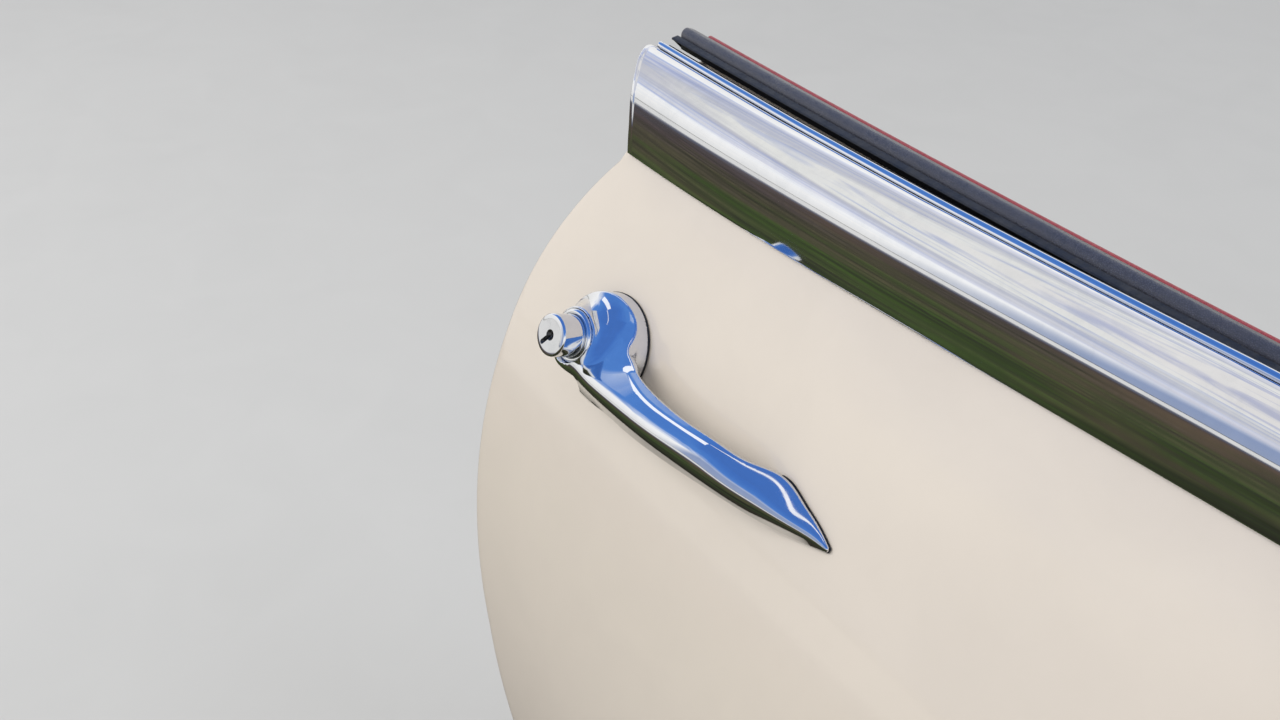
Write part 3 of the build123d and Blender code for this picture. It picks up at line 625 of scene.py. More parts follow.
def makeWorld():
    # Gloss sees an open sky: ground, bright haze near the horizon and blue above; the eye sees a pale wall
    look = {
        "background": (0.74, 0.75, 0.76, 1),
        "fill": (1.0, 0.985, 0.965, 1),
        "fillStrength": 0.66,
        "rearSky": [
            (-1.0, (0.06, 0.06, 0.05)), (-0.03, (0.10, 0.10, 0.09)), (0.0, (0.95, 0.94, 0.92)),
            (0.36, (1.10, 1.10, 1.10)), (0.47, (0.50, 0.62, 0.90)), (0.56, (0.10, 0.27, 0.72)),
            (0.90, (0.07, 0.20, 0.62)), (1.0, (0.07, 0.19, 0.58)),
        ],
        "sideSky": [
            (-1.0, (0.06, 0.06, 0.05)), (-0.03, (0.12, 0.12, 0.11)), (0.0, (0.35, 0.42, 0.60)),
            (0.38, (0.32, 0.40, 0.62)), (0.62, (0.62, 0.67, 0.80)), (0.80, (0.30, 0.46, 0.85)),
            (1.0, (0.08, 0.22, 0.66)),
        ],
    }
    world = bpy.data.worlds.new("softStudio")
    bpy.context.scene.world = world
    world.use_nodes = True
    tree = world.node_tree
    tree.nodes.clear()
    aim = addNode(tree, "ShaderNodeTexCoord").outputs["Generated"]
    height, sideways = unevenHeight(tree, aim)
    outward = rangeOf(tree, sideways, 0.0, 1.0, -0.80, -0.90)
    both = mixColours(tree, outward, *(skyRamp(tree, height, look[side]) for side in ("rearSky", "sideSky")))

    def lit(colour, strength=1.0):
        return addNode(tree, "ShaderNodeBackground", {"Color": colour, "Strength": strength}).outputs[0]

    ray = addNode(tree, "ShaderNodeLightPath").outputs
    fill = lit(look["fill"], look["fillStrength"])
    glossy = addNode(tree, "ShaderNodeMixShader", {0: ray["Is Glossy Ray"], 1: fill, 2: lit(both)}).outputs[0]
    seen = mathOf(tree, "MAXIMUM", ray["Is Camera Ray"], ray["Is Transmission Ray"])
    whole = addNode(tree, "ShaderNodeMixShader", {0: seen, 1: glossy, 2: lit(look["background"])})
    addNode(tree, "ShaderNodeOutputWorld", {"Surface": whole.outputs[0]})


def makeFloor():
    size = {"half": 14000.0, "level": -214.6}
    # Painted reflection: for glossy rays the floor glows with a painted ground, by share of 5 m: dark by the object,
    # then grass, earth and the bright distance
    stops = [
        (0.00, (0.018, 0.017, 0.014)), (0.10, (0.028, 0.030, 0.018)), (0.22, (0.072, 0.115, 0.034)),
        (0.30, (0.110, 0.100, 0.060)), (0.42, (0.110, 0.085, 0.085)), (0.52, (0.13, 0.14, 0.19)),
        (0.60, (0.30, 0.30, 0.34)), (0.70, (0.85, 0.84, 0.82)),
    ]
    material, tree, shader, place = newMaterial("paleFloorPaintedReflection", Roughness=0.9, IOR=1.3)
    cloud = useGroup(tree, smudges, Vector=place, Scale=1.5)["Mask"]
    pale = mixColours(tree, cloud, (0.60, 0.61, 0.62, 1), (0.58, 0.59, 0.60, 1))
    tree.links.new(pale, shader["Base Color"])
    centred = stretched(tree, place, (1.0, 1.0, 0.0), Location=(0.65, 0.0, 0.0))
    reach = addNode(tree, "ShaderNodeVectorMath", {0: centred}, operation="LENGTH").outputs["Value"]
    patches = noiseOf(tree, stretched(tree, place, (0.5, 2.5, 1.0)), 3.0, 6.0, Roughness=0.6)
    unevenReach = mathOf(tree, "ADD", reach, rangeOf(tree, patches, -0.35, 0.35, 0.3, 0.7))
    plain = colourRamp(tree, rangeOf(tree, unevenReach, 0.0, 1.0, 0.0, 5.0), stops)
    paintedGrassBlades = noiseOf(tree, stretched(tree, place, (0.35, 5.0, 1.0)), 5.0, 7.0, Roughness=0.7)
    paintedSoil = noiseOf(tree, place, 1.1, 4.0)
    paintedGround = mixColours(tree, rangeOf(tree, paintedGrassBlades, 0.0, 0.9, 0.42, 0.62), plain, (0.035, 0.035, 0.028, 1))
    paintedGround = mixColours(tree, rangeOf(tree, paintedSoil, 0.0, 0.75, 0.50, 0.64), paintedGround, (0.150, 0.105, 0.075, 1))
    paintedGround = mixColours(tree, rangeOf(tree, reach, 1.0, 0.0, 2.0, 2.9), plain, paintedGround)
    # Painted reflection: the floor glows with this painted ground, and only glossy rays see it
    paintedGroundGlow = addNode(tree, "ShaderNodeEmission", {"Color": paintedGround, "Strength": 1.0}).outputs[0]
    ray = addNode(tree, "ShaderNodeLightPath").outputs
    eye = tree.nodes["Principled BSDF"].outputs[0]
    both = addNode(tree, "ShaderNodeMixShader", {0: ray["Is Glossy Ray"], 1: eye, 2: paintedGroundGlow})
    tree.links.new(both.outputs[0], tree.nodes["Material Output"].inputs["Surface"])
    half, level = size["half"], size["level"]
    corners = [(x * half, y * half, level) for x, y in ((-1, -1), (1, -1), (1, 1), (-1, 1))]
    floor = makeMesh("studioFloor", corners, [(0, 1, 2, 3)], material, outward=False)


# Two lamps light the object and don't show in its gloss
softLamps = {
    "softKey": {"place": (-1.9, -2.3, 2.3), "size": 2.4, "power": 62.0, "colour": (1.0, 0.975, 0.94)},
    "coolFill": {"place": (1.4, 1.6, 2.4), "size": 2.4, "power": 26.0, "colour": (0.94, 0.97, 1.0)},
}
softTarget = (-0.5, -0.02, 0.02)
# Three show only in gloss: a broad cloud over the capping, two thin strips along the casting's crease
glossLamps = {
    "cloudCard": {
        "place": (-1.70, 0.30, 3.00), "target": (-0.6, 0.02, 0.28), "size": (16.0, 16.0), "colour": (1.0, 1.0, 1.0),
    },
    "creaseStrip": {
        "place": (-3.03, 0.01, 2.87), "target": (-0.78, -0.05, 0.19), "size": (0.55, 2.1), "colour": (1.0, 0.88, 0.55),
    },
    "leafStrip": {
        "place": (-1.10, 0.28, 3.18), "target": (-0.72, 0.28, 0.18), "size": (0.075, 1.7), "colour": (1.0, 0.88, 0.55),
    },
}


def areaLamp(name, facts, target):
    data = bpy.data.lights.new(name, "AREA")
    data.color = facts["colour"]
    lamp = bpy.data.objects.new(name, data)
    lamp.location = facts["place"]
    lamp.rotation_mode = "QUATERNION"
    lamp.rotation_quaternion = (Vector(target) - lamp.location).to_track_quat("-Z", "Y")
    bpy.context.scene.collection.objects.link(lamp)
    return lamp, data


def softLamp(name, facts):
    lamp, data = areaLamp(name, facts, softTarget)
    data.shape, data.size, data.energy = "DISK", facts["size"], facts["power"]
    lamp.visible_glossy = False


def glossLamp(name, group):
    # Shows in the gloss of the pieces in group with a radiance of 1, and lights nothing else
    facts = glossLamps[name]
    lamp, data = areaLamp(name, facts, facts["target"])
    data.shape, (data.size, data.size_y) = "RECTANGLE", facts["size"]
    data.energy = pi * data.size * data.size_y
    lamp.visible_diffuse = False
    lamp.light_linking.receiver_collection = group
    return data


def makeCloudCard(group):
    bands = [
        (0.0, (0.0, 0.0, 0.0)), (0.36, (0.0, 0.0, 0.0)), (0.44, (0.18, 0.10, 0.0)), (0.52, (0.48, 0.33, 0.0)),
        (0.60, (0.60, 0.44, 0.04)), (0.68, (0.86, 0.70, 0.22)), (0.86, (0.86, 0.70, 0.25)), (1.0, (0.84, 0.69, 0.26)),
    ]
    data = glossLamp("cloudCard", group)
    data.use_nodes = True
    tree = data.node_tree
    spot = addNode(tree, "ShaderNodeNewGeometry").outputs["Position"]
    back = tuple(-c for c in glossLamps["cloudCard"]["target"])
    away = addNode(tree, "ShaderNodeVectorMath", {0: spot, 1: back}, operation="ADD").outputs[0]
    aim = addNode(tree, "ShaderNodeVectorMath", {0: away}, operation="NORMALIZE").outputs[0]
    height, _ = unevenHeight(tree, aim)
    wisps = noiseOf(tree, stretched(tree, aim, (1.2, 1.6, 9.0), Rotation=(0.0, 0.12, 0.0)), 2.2, 4.0, Distortion=0.6)
    thick = rangeOf(tree, wisps, 0.0, 0.5, 0.50, 0.66)
    cloud = mixColours(tree, thick, skyRamp(tree, height, bands), (0.16, 0.10, 0.02, 1))
    emission = next(n for n in tree.nodes if n.type == "EMISSION")
    tree.links.new(cloud, emission.inputs["Color"])


placeCamera()
makeWorld()
makeFloor()
for name, facts in softLamps.items():
    softLamp(name, facts)
cappingViewers = bpy.data.collections.new("showsInCapping")
castingViewers = bpy.data.collections.new("showsInCasting")
makeCloudCard(cappingViewers)
glossLamp("creaseStrip", castingViewers)
glossLamp("leafStrip", castingViewers)
bpy.context.scene.view_settings.view_transform = "Standard"
print("camera, floor and light placed")


# Outer skin with its rolled edge
def makeSkin():
    size = {
        "rows": 116, "columns": 170, "edgeRadius": 1.4, "sheet": 1.6,
        "foldDepth": 4.6, "foldWidth": 2.5, "foldClear": 0.5, "hem": 0.9,
    }
    rows, columns, radius = size["rows"], size["columns"], size["edgeRadius"]
    top = outline["skinTopZ"]
    grid = coonsGrid(*doorEdges(0.0, outline["heel"][1], top, rows, columns)).reshape(-1, 2)
    loop = borderLoop(rows, columns)
    edge = grid[loop]
    mitre = outwardMitre(edge)
    atTop = edge[:, 1] > top - 0.01
    outer = grid.copy()
    outer[loop] -= mitre * radius
    # Hem as (inset, depth) pairs: rounded over, folded back inside, then up to the sheet's inner face
    turn = np.radians(np.linspace(90, 0, 6)[1:])
    deep, wide, clear, sheet = (size[key] for key in ("foldDepth", "foldWidth", "foldClear", "sheet"))
    under = deep - size["hem"]
    hem = [(radius * (1 - cos(a)), radius * (1 - sin(a))) for a in turn]
    back = [(0.0, deep - radius)] + [(radius * (1 - sin(a)), deep - radius * (1 - cos(a))) for a in turn[::-1]][1:]
    hem += back + [(radius, deep), (wide, deep), (wide, under), (clear, under), (clear, sheet)]
    rings = []
    for inset, depth in hem:
        place = edge - mitre * inset
        own = np.where(atTop, np.minimum(depth, sheet), depth)
        rings.append(bodyPoints(place[:, 0], skinV(place[:, 1], own), place[:, 1]))
    inner = grid.copy()
    inner[loop] -= mitre * clear
    surface = bodyPoints(outer[:, 0], skinV(outer[:, 1]), outer[:, 1])
    innerFaceAndShadeCup = bodyPoints(inner[:, 0], skinV(inner[:, 1], sheet), inner[:, 1])
    count = len(loop)
    points = np.concatenate([surface] + rings[:-1] + [innerFaceAndShadeCup])
    faces = gridFaces(rows, columns).tolist()
    start = rows * columns
    ringStarts = [start + k * count for k in range(len(rings) - 1)]
    chain = [loop] + [np.arange(count) + s for s in ringStarts] + [loop + start + count * (len(rings) - 1)]
    for one, two in zip(chain, chain[1:]):
        faces += bridge(one, two)
    faces += gridFaces(rows, columns, start=start + count * (len(rings) - 1), flip=True).tolist()
    skin = makeMesh("paintedSkin", points, faces, finishes["body_paint"])
    settle(skin, "door", "body_paint", "outer_skin")


makeSkin()
print("skin made")


# Waist: capping, bead, seals, rail and piping
waist = {
    "cappingTop": (135.032, 283.0),
    "knee": (3.0, 28.0),
    "kneeWidth": 54.5,
    "lowerEdge": ((-945.0, 22.0), (-880.0, 22.0), (-780.0, 20.0), (-650.0, 16.0), (-350.0, 10.0), (-10.0, 4.0)),
    "rearEnd": (
        (105.0, 107.5, 109.1, 111.7, 115.4, 119.8, 124.8, 129.9, 135.0),
        (-897.0, -897.6, -899.0, -901.4, -905.0, -909.8, -914.4, -918.6, -922.0),
    ),
    "rearX": -900.0,
    "sheet": 1.6,
    "gap": 0.3,
    "frontX": -31.0,
}


def topLift(x):
    # The capping's top line and bead rise slightly towards the front
    return np.interp(x, (-880.0, -804.0, -714.0, -642.0, -578.0, -500.0), (-3.0, -2.9, -1.6, 0.3, 2.0, 2.6))


def smoothTable(xs, ys, wanted):
    # Natural cubic through a short table
    xs, ys = np.array(xs, float), np.array(ys, float)
    if ys.ndim == 1:
        ys = ys[:, None]
    n = len(xs)
    h = np.diff(xs)
    system, right = np.eye(n), np.zeros((n, ys.shape[1]))
    for k in range(1, n - 1):
        system[k, k - 1], system[k, k], system[k, k + 1] = h[k - 1], 2 * (h[k - 1] + h[k]), h[k]
        right[k] = 6 * ((ys[k + 1] - ys[k]) / h[k] - (ys[k] - ys[k - 1]) / h[k - 1])
    bend = np.linalg.solve(system, right)
    wanted = np.atleast_1d(np.asarray(wanted, float))
    k = np.clip(np.searchsorted(xs, wanted) - 1, 0, n - 2)
    a, b, step = (xs[k + 1] - wanted)[:, None], (wanted - xs[k])[:, None], h[k][:, None]
    return (
        (bend[k] * a**3 + bend[k + 1] * b**3) / (6 * step)
        + (ys[k] / step - bend[k] * step / 6) * a
        + (ys[k + 1] / step - bend[k + 1] * step / 6) * b
    )


def cappingSection(drop, lift, lowCount, highCount):
    lowZ = outline["skinTopZ"] - drop
    low = np.array([float(skinV(lowZ, -waist["sheet"] - waist["gap"])), lowZ])
    top = np.array(waist["cappingTop"]) + (0.0, lift)
    knee = low + np.array(waist["knee"]) * np.hypot(*(top - low)) / waist["kneeWidth"]
    lower, heading = arcTangent(low, knee, (0.025, 1.0), lowCount)
    upper, _ = arcTangent(knee, top, heading, highCount)
    run = np.concatenate([lower[:-1], upper])
    along = np.gradient(run, axis=0)
    along /= np.hypot(*along.T)[:, None]
    return run, along


def makeCapping():
    size = {"half": 0.8, "cornerRadius": 4.5, "rimWidth": 3.2, "rimRise": 0.35, "steps": 5}
    half = size["half"]
    xs, drops = zip(*waist["lowerEdge"])
    near = np.concatenate([np.linspace(0, 8, 24), np.arange(10, 30, 3)])
    length = waist["frontX"] - waist["rearX"]
    middle = np.arange(34, length - 6, 5.0)
    turns = np.radians(np.linspace(90, 0, size["steps"]))
    stations = [(half * (1 - sin(a)), cos(a)) for a in turns[:-1]]
    stations += [(half + d, 1.0) for d in near] + [(d, 1.0) for d in middle]
    stations += [(length - half * (1 - sin(a)), cos(a)) for a in turns[::-1]]
    rings = []
    bendOver = np.radians(np.linspace(0, 180, 9)[1:-1])
    for distance, fullness in stations:
        x = waist["rearX"] + distance
        run, along = cappingSection(float(smoothTable(xs, drops, x)[0, 0]), float(topLift(x)), 28, 34)
        out = np.stack([-along[:, 1], along[:, 0]], 1)
        mid = run - out * half
        rim = size["rimRise"] * (1 - easeIn(distance - size["rimWidth"] + 0.5))
        fromTop = np.concatenate([np.cumsum(np.hypot(*np.diff(mid[::-1], axis=0).T))[::-1], [0.0]])
        r = size["cornerRadius"]
        cut = np.where(fromTop < r, r - np.sqrt(np.maximum(r**2 - (r - fromTop) ** 2, 0)), 0.0)
        # Round the sheet: outer face up, over the top edge, inner face down, under the low edge
        ring = [(mid[k], out[k] * (half + rim), cut[k]) for k in range(len(mid))]
        ring += [(mid[-1], (out[-1] * cos(a) + along[-1] * sin(a)) * half, cut[-1]) for a in bendOver]
        ring += [(mid[k], -out[k] * half, cut[k]) for k in reversed(range(len(mid)))]
        ring += [(mid[0], (-out[0] * cos(a) - along[0] * sin(a)) * half, cut[0]) for a in bendOver]
        base, offset, setback = (np.array(part) for part in zip(*ring))
        place = base + offset * fullness
        rear = np.interp(base[:, 0], *waist["rearEnd"]) + setback
        share = distance / length
        rings.append(bodyPoints(rear + (waist["frontX"] - rear) * share, place[:, 0], place[:, 1]))
    capping = closedSweep("waistCappingPlate", np.array(rings), finishes["chrome"])
    cappingViewers.objects.link(capping)
    settle(capping, "door", "chrome", "waist_capping")


def makeBead():
    size = {"low": 136.232, "width": 4.0, "base": 281.4, "rise": 3.4}
    v, w, z, h = size["low"], size["width"], size["base"], size["rise"]
    top = arcThrough((v, z + h - w / 2), (v + w / 2, z + h), (v + w, z + h - w / 2), 15)
    profile = softenCorners(joinRuns([(v, z)], [(v, z + 0.7)], top, [(v + w, z + 0.7)], [(v + w, z)]), 0.3)
    bead = waistStrip("waistBeadPlate", profile, finishes["chrome"], endRadius=1.2, liftAbove=0.0)
    settle(bead, "door", "chrome", "waist_bead")


def makeOuterSeal():
    s = {"outer": 134.032, "lip": 146.332, "slot": 143.832, "shelf": 275.3, "top": 281.1, "foot": 268.0}
    corners = np.array([
        (s["outer"], s["shelf"]), (s["slot"], s["shelf"]), (s["slot"], s["foot"]), (s["lip"], s["foot"]),
        (s["lip"], s["top"] - 1.2), (s["lip"] - 1.6, s["top"]), (141.6, s["top"]), (141.2, s["top"] - 1.4),
        (s["outer"] + 1.8, s["top"] - 1.4), (s["outer"], s["top"] - 1.8),
    ])
    profile = softenCorners(corners, 0.7)
    seal = waistStrip("glassSealStrip", profile, finishes["rubber"], endRadius=0.6, rearward=2.0, liftAbove=278.0)
    settle(seal, "door", "rubber", "outer_waist_seal")


def makeInnerSeal():
    # Rubber lip on the rail's outer side that closes the glass slot
    lip = np.array([
        (152.4, 274.4), (152.4, 279.6), (150.9, 281.0), (147.5, 280.7), (146.8, 280.1),
        (147.3, 279.6), (150.2, 279.7), (151.3, 278.5), (151.3, 274.4),
    ])
    seal = waistStrip("innerSealLip", softenCorners(lip, 0.6), finishes["rubber"], endRadius=0.5, rearward=4.0)
    settle(seal, "door", "rubber")


def makeRail():
    s = {
        "outer": 152.532, "base": 273.8, "shoulder": 279.6, "crown": (157.0, 283.4), "brow": (162.9, 280.4),
        "edge": (167.032, 275.3), "round": 0.9,
    }
    rise, _ = arcTangent((s["outer"], s["shoulder"]), s["crown"], (0.15, 1.0), 14)
    fall = arcThrough(s["crown"], s["brow"], s["edge"], 26)
    wall = [[(s["outer"], s["base"] + d)] for d in (0, 2)]
    foot = [[(s["edge"][0], s["base"] + d)] for d in (0.8, 0)]
    profile = softenCorners(joinRuns(*wall, rise, fall, *foot), s["round"], sharp=12.0)
    rail = waistStrip("waistRailRoll", profile, finishes["rail_vinyl"], endRadius=2.0, rearward=5.0)
    settle(rail, "door", "rail_vinyl", "waist_rail")


def makePiping():
    size = {"centre": (169.232, 275.5), "radius": 1.9, "around": 22}
    angles = np.linspace(0, 2 * pi, size["around"], endpoint=False)
    profile = np.array(size["centre"]) + size["radius"] * np.stack([np.cos(angles), np.sin(angles)], 1)
    piping = waistStrip("casingPiping", profile, finishes["red_piping"], endRadius=1.4, rearward=4.0)
    settle(piping, "door", "red_piping", "trim_piping")


makeCapping()
makeBead()
makeOuterSeal()
makeInnerSeal()
makeRail()
makePiping()
print("waist made")


# Outside handle, in a plane on the skin: u forward, v up the skin, w out of it

handleSize = {
    "place": (-847.0, 174.7),
    "length": 165.0,
    "bossCentre": (-2.4, 1.0),
    "bossTilt": 6.0,
    "bossLean": 3.5,
    "bossRadius": 13.8,
    "bossReach": 20.6,
    "bossChamfer": 0.7,
    "ringRadius": 12.6,
    "ringReach": 22.5,
    "barrelRadius": 10.0,
    "barrelReach": 35.0,
    "barrelFoot": 9.0,
    "ovalCentre": (2.5, -2.0),
    "ovalHalfU": 28.0,
    "ovalUpper": 26.0,
    "ovalLower": 16.8,
    "plateTop": 7.0,
    "draft": 1.6,
    "draftHeight": 16.5,
    "gasket": 1.2,
    "creaseRound": 0.35,
    "heelRound": 0.9,
    "edgeRound": 0.8,
    "tipRound": 0.7,
    "rootU": -9.0,
    "rootRound": 8.0,
    "bossBlend": 9.0,
    "plateEnd": 40.0,
    "plateRound": 2.0,
    "plateBlend": 15.0,
    "blendLoss": 13.5,
    "lossFrom": 24.0,
    "lossOver": 44.0,
    "stripClear": 0.4,
    "stripStart": 12.0,
    "stripBlend": 2.5,
    "boreClear": 0.1,
    "boreRound": 0.35,
    "footRound": 0.25,
}


def handlePlace():
    x, z = handleSize["place"]
    base, foot = bodyPoints([x, x + handleSize["length"]], skinV(z), z)
    along = (foot - base) / np.linalg.norm(foot - base)
    tilt = asin((z - bodySide["middleZ"]) / bodySide["sectionRadius"])
    across = np.array([0.0, sin(tilt), cos(tilt)])
    return np.stack([along, across, np.cross(along, across)], 1), base


handleTurn, handleBase = handlePlace()
# u, upper edge, crease, brow, chin, heel as (v, w), then w of the back's top and low side
gripTable = (
    (6, (8.6, 8.3), (4.3, 13.2), (-7.8, 20.4), (-16.8, 19.2), (-21.6, 12.5), 6.5, 10),
    (20, (8.5, 8.7), (4.3, 13.3), (-8.7, 23.2), (-16.3, 22.0), (-21.7, 14.7), 6.5, 12.5),
    (38, (4.8, 14.7), (2.0, 18.0), (-8.0, 25.6), (-14.8, 24.6), (-20.7, 17.5), 13, 15.5),
    (60, (3.1, 19.1), (-0.1, 23.0), (-5.9, 27.2), (-13.2, 26.2), (-19.6, 18.9), 17.3, 16.9),
    (85, (3.9, 20.4), (1.5, 23.4), (-3.6, 27.1), (-11.0, 26.0), (-17.2, 18.8), 18.4, 16.8),
    (105, (5.3, 18.2), (2.6, 21.3), (-2.4, 25.0), (-9.5, 23.8), (-15.3, 16.5), 15.5, 13.5),
    (118, (5.4, 12.6), (3.0, 15.4), (-2.4, 20.3), (-9.2, 19.9), (-14.5, 13.2), 7, 6),
    (130, (7.2, 5.5), (4.2, 8.95), (-2.5, 15.2), (-9.1, 14.8), (-14.2, 8.0), 1, 1),
    (145, (3.4, 2.8), (0.8, 5.8), (-2.9, 9.5), (-7.9, 8.9), (-12.3, 2.6), 0, 0),
    (158, (-0.9, 2.0), (-2.3, 3.7), (-3.8, 4.9), (-6.2, 4.2), (-9.0, 1.8), 0, 0),
    (165, (-4.2, 1.7), (-4.4, 2.1), (-4.8, 2.5), (-5.6, 2.4), (-6.8, 1.8), 0, 0),
)
# Radius of the rounded nose between brow and chin, by u
noseTable = ((0, 38, 60, 85, 105, 130, 145, 158, 165), (6.8, 7.0, 7.4, 8.8, 10.0, 9.2, 6.0, 2.6, 0.7))
gripSteps = np.linspace(0, 170, 681)


def roundUnion(a, b, r):
    return np.maximum(r, np.minimum(a, b)) - np.hypot(np.maximum(r - a, 0), np.maximum(r - b, 0))


def roundMeet(a, b, r):
    return np.minimum(-r, np.maximum(a, b)) + np.hypot(np.maximum(r + a, 0), np.maximum(r + b, 0))


def linePlane(p, q):
    # Outward unit normal and offset of the side from p to q, per step of u
    d = q - p
    n = np.stack([d[:, 1], -d[:, 0]], 1) / np.hypot(*d.T)[:, None]
    return np.concatenate([n, np.sum(n * p, 1)[:, None]], 1)


def gripFacts():
    # The grip's sides at fine steps of u, from splines through the table
    us = [row[0] for row in gripTable]
    values = [[c for point in row[1:6] for c in point] + list(row[6:]) for row in gripTable]
    whole = smoothTable(us, values, np.clip(gripSteps, us[0], us[-1]))
    edge, crease, brow, chin, heel = (whole[:, 2 * k:2 * k + 2] for k in range(5))
    undercut = np.minimum(1.2, (edge[:, 0] - heel[:, 0]) / 4)
    backLow = np.stack([heel[:, 0] + undercut, whole[:, 11]], 1)
    backTop = np.stack([edge[:, 0] - undercut, whole[:, 10]], 1)
    pairs = ((edge, crease), (crease, brow), (chin, heel), (heel, backLow), (backLow, backTop), (backTop, edge))
    sides = [linePlane(*pair) for pair in pairs]
    return sides, edge[:, 0], np.minimum(backLow[:, 1], backTop[:, 1])


gripSides, gripEdgeV, gripBackW = gripFacts()
gripNose = np.interp(gripSteps, *noseTable)


def alongGrip(values, u):
    place = np.clip(u / 0.25, 0, len(gripSteps) - 1.001)
    k = place.astype(int)
    share = place - k
    return values[k] * (1 - share) + values[k + 1] * share


def barrelAxes():
    # The lock barrel looks a little down and forward; its own axes as columns
    tilt, lean = radians(handleSize["bossTilt"]), radians(handleSize["bossLean"])
    down = np.array([[1, 0, 0], [0, cos(tilt), -sin(tilt)], [0, sin(tilt), cos(tilt)]])
    forward = np.array([[cos(lean), 0, sin(lean)], [0, 1, 0], [-sin(lean), 0, cos(lean)]])
    return down @ forward


def handleField(u, v, w):
    # Negative inside the casting; level sets near zero are close to true distance
    s = handleSize
    side = []
    for plane in gripSides:
        nv, nw, off = (alongGrip(plane[:, k], u) for k in range(3))
        side.append(nv * v + nw * w - off)
    upper, front, lower, heel, back, top = side
    grip = roundMeet(upper, front, s["creaseRound"])
    grip = roundMeet(grip, lower, alongGrip(gripNose, u))
    grip = roundMeet(grip, heel, s["heelRound"])
    grip = roundMeet(grip, top, s["edgeRound"])
    grip = roundMeet(grip, back, s["edgeRound"])
    grip = roundMeet(grip, u - s["length"], s["tipRound"])
    grip = roundMeet(grip, s["rootU"] - u, s["rootRound"])
    du, dv = u - s["bossCentre"][0], v - s["bossCentre"][1]
    ub, vb, wb = (du * c[0] + dv * c[1] + w * c[2] for c in barrelAxes().T)
    fromAxis = np.hypot(ub, vb)
    boss = roundMeet(fromAxis - s["bossRadius"], wb - s["bossReach"], s["bossChamfer"])
    core = roundUnion(grip, boss, s["bossBlend"])
    plate = roundMeet(w - s["plateTop"], u - s["plateEnd"], s["plateRound"])
    body = roundUnion(plate, core, s["plateBlend"] - s["blendLoss"] * easeIn((u - s["lossFrom"]) / s["lossOver"]))
    eu, ev = u - s["ovalCentre"][0], v - s["ovalCentre"][1]
    taper = s["draft"] * np.clip(w, 0, s["draftHeight"]) / s["draftHeight"]
    halfU = s["ovalHalfU"] - taper
    halfV = np.where(ev > 0, s["ovalUpper"], s["ovalLower"]) - taper
    norm = np.hypot(eu / halfU, ev / halfV)
    slope = np.hypot(eu / halfU**2, ev / halfV**2) / np.maximum(norm, 1e-6)
    oval = (norm - 1) / np.maximum(slope, 1e-6)
    strip = roundMeet(v - alongGrip(gripEdgeV, u) - s["stripClear"], alongGrip(gripBackW, u) - w, s["edgeRound"])
    strip = np.maximum(strip, s["stripStart"] - u)
    whole = roundMeet(body, roundUnion(oval, strip, s["stripBlend"]), s["edgeRound"])
    bore = np.maximum(fromAxis - s["ringRadius"] - s["boreClear"], s["barrelFoot"] - wb)
    whole = roundMeet(whole, -bore, s["boreRound"])
    points = np.stack([u, v, w], -1) @ handleTurn.T + handleBase
    b = bodySide
    fromPlan = np.hypot(points[..., 0] - b["widestX"], points[..., 1] - b["outermostY"] - b["planRadius"])
    across = b["sectionRadius"] - b["planRadius"] + fromPlan
    overSkin = np.hypot(across, points[..., 2] - b["middleZ"]) - b["sectionRadius"]
    return roundMeet(whole, s["gasket"] - overSkin, s["footRound"])


def surfaceNet(field, low, high, cell):
    # One vertex in every cell that the surface crosses, pulled onto it along the gradient
    axes = [np.arange(a, b + cell, cell) for a, b in zip(low, high)]
    values = field(*np.meshgrid(*axes, indexing="ij")).astype(np.float32)
    inside = values < 0
    shape = tuple(n - 1 for n in values.shape)
    corner = [(i, j, k) for i in (0, 1) for j in (0, 1) for k in (0, 1)]
    part = lambda grid, c: grid[c[0]:c[0] + shape[0], c[1]:c[1] + shape[1], c[2]:c[2] + shape[2]]
    filled = sum(part(inside, c).astype(np.int8) for c in corner)
    active = (filled > 0) & (filled < 8)
    number = -np.ones(shape, np.int64)
    cells = np.argwhere(active)
    number[active] = np.arange(len(cells))
    origin = np.array([a[0] for a in axes])
    points = origin + (cells + 0.5) * cell
    start = points.copy()
    eps, fit = 0.02, 0.75 * cell
    for _ in range(5):
        here = field(*points.T)
        ahead, behind = ([field(*(points + sign * eps * e).T) for e in np.eye(3)] for sign in (1, -1))
        slope = np.stack([(a - b) / (2 * eps) for a, b in zip(ahead, behind)], 1)
        step = -here[:, None] * slope / np.maximum(np.sum(slope**2, 1), 0.05)[:, None]
        points += np.clip(step, -0.6 * cell, 0.6 * cell)
        points = np.clip(points, start - fit, start + fit)
    slope /= np.maximum(np.linalg.norm(slope, axis=1), 1e-9)[:, None]
    quads = []
    for axis in range(3):
        one, two = [k for k in range(3) if k != axis]
        lowSide = inside[tuple(slice(0, -1) if k == axis else slice(1, -1) for k in range(3))]
        highSide = inside[tuple(slice(1, None) if k == axis else slice(1, -1) for k in range(3))]
        crossing = np.argwhere(lowSide != highSide)
        flipped = lowSide[tuple(crossing.T)]
        ring = []
        for di, dj in ((0, 0), (1, 0), (1, 1), (0, 1)):
            place = crossing.copy()
            place[:, one] += di
            place[:, two] += dj
            ring.append(number[tuple(place.T)])
        ring = np.stack(ring, 1)
        turnOver = flipped if axis != 1 else ~flipped
        ring[~turnOver] = ring[~turnOver][:, ::-1]
        quads.append(ring)
    return points, slope, np.concatenate(quads)


def netPiece(name, field, low, high, cell, slot, node):
    points, slope, faces = surfaceNet(field, low, high, cell)
    placed, normals = points @ handleTurn.T + handleBase, slope @ handleTurn.T
    piece = makeMesh(name, placed, faces, finishes[slot], outward=False, normals=normals)
    settle(piece, "door", slot, node)
    print(name + ":", len(points), "points")
    return piece


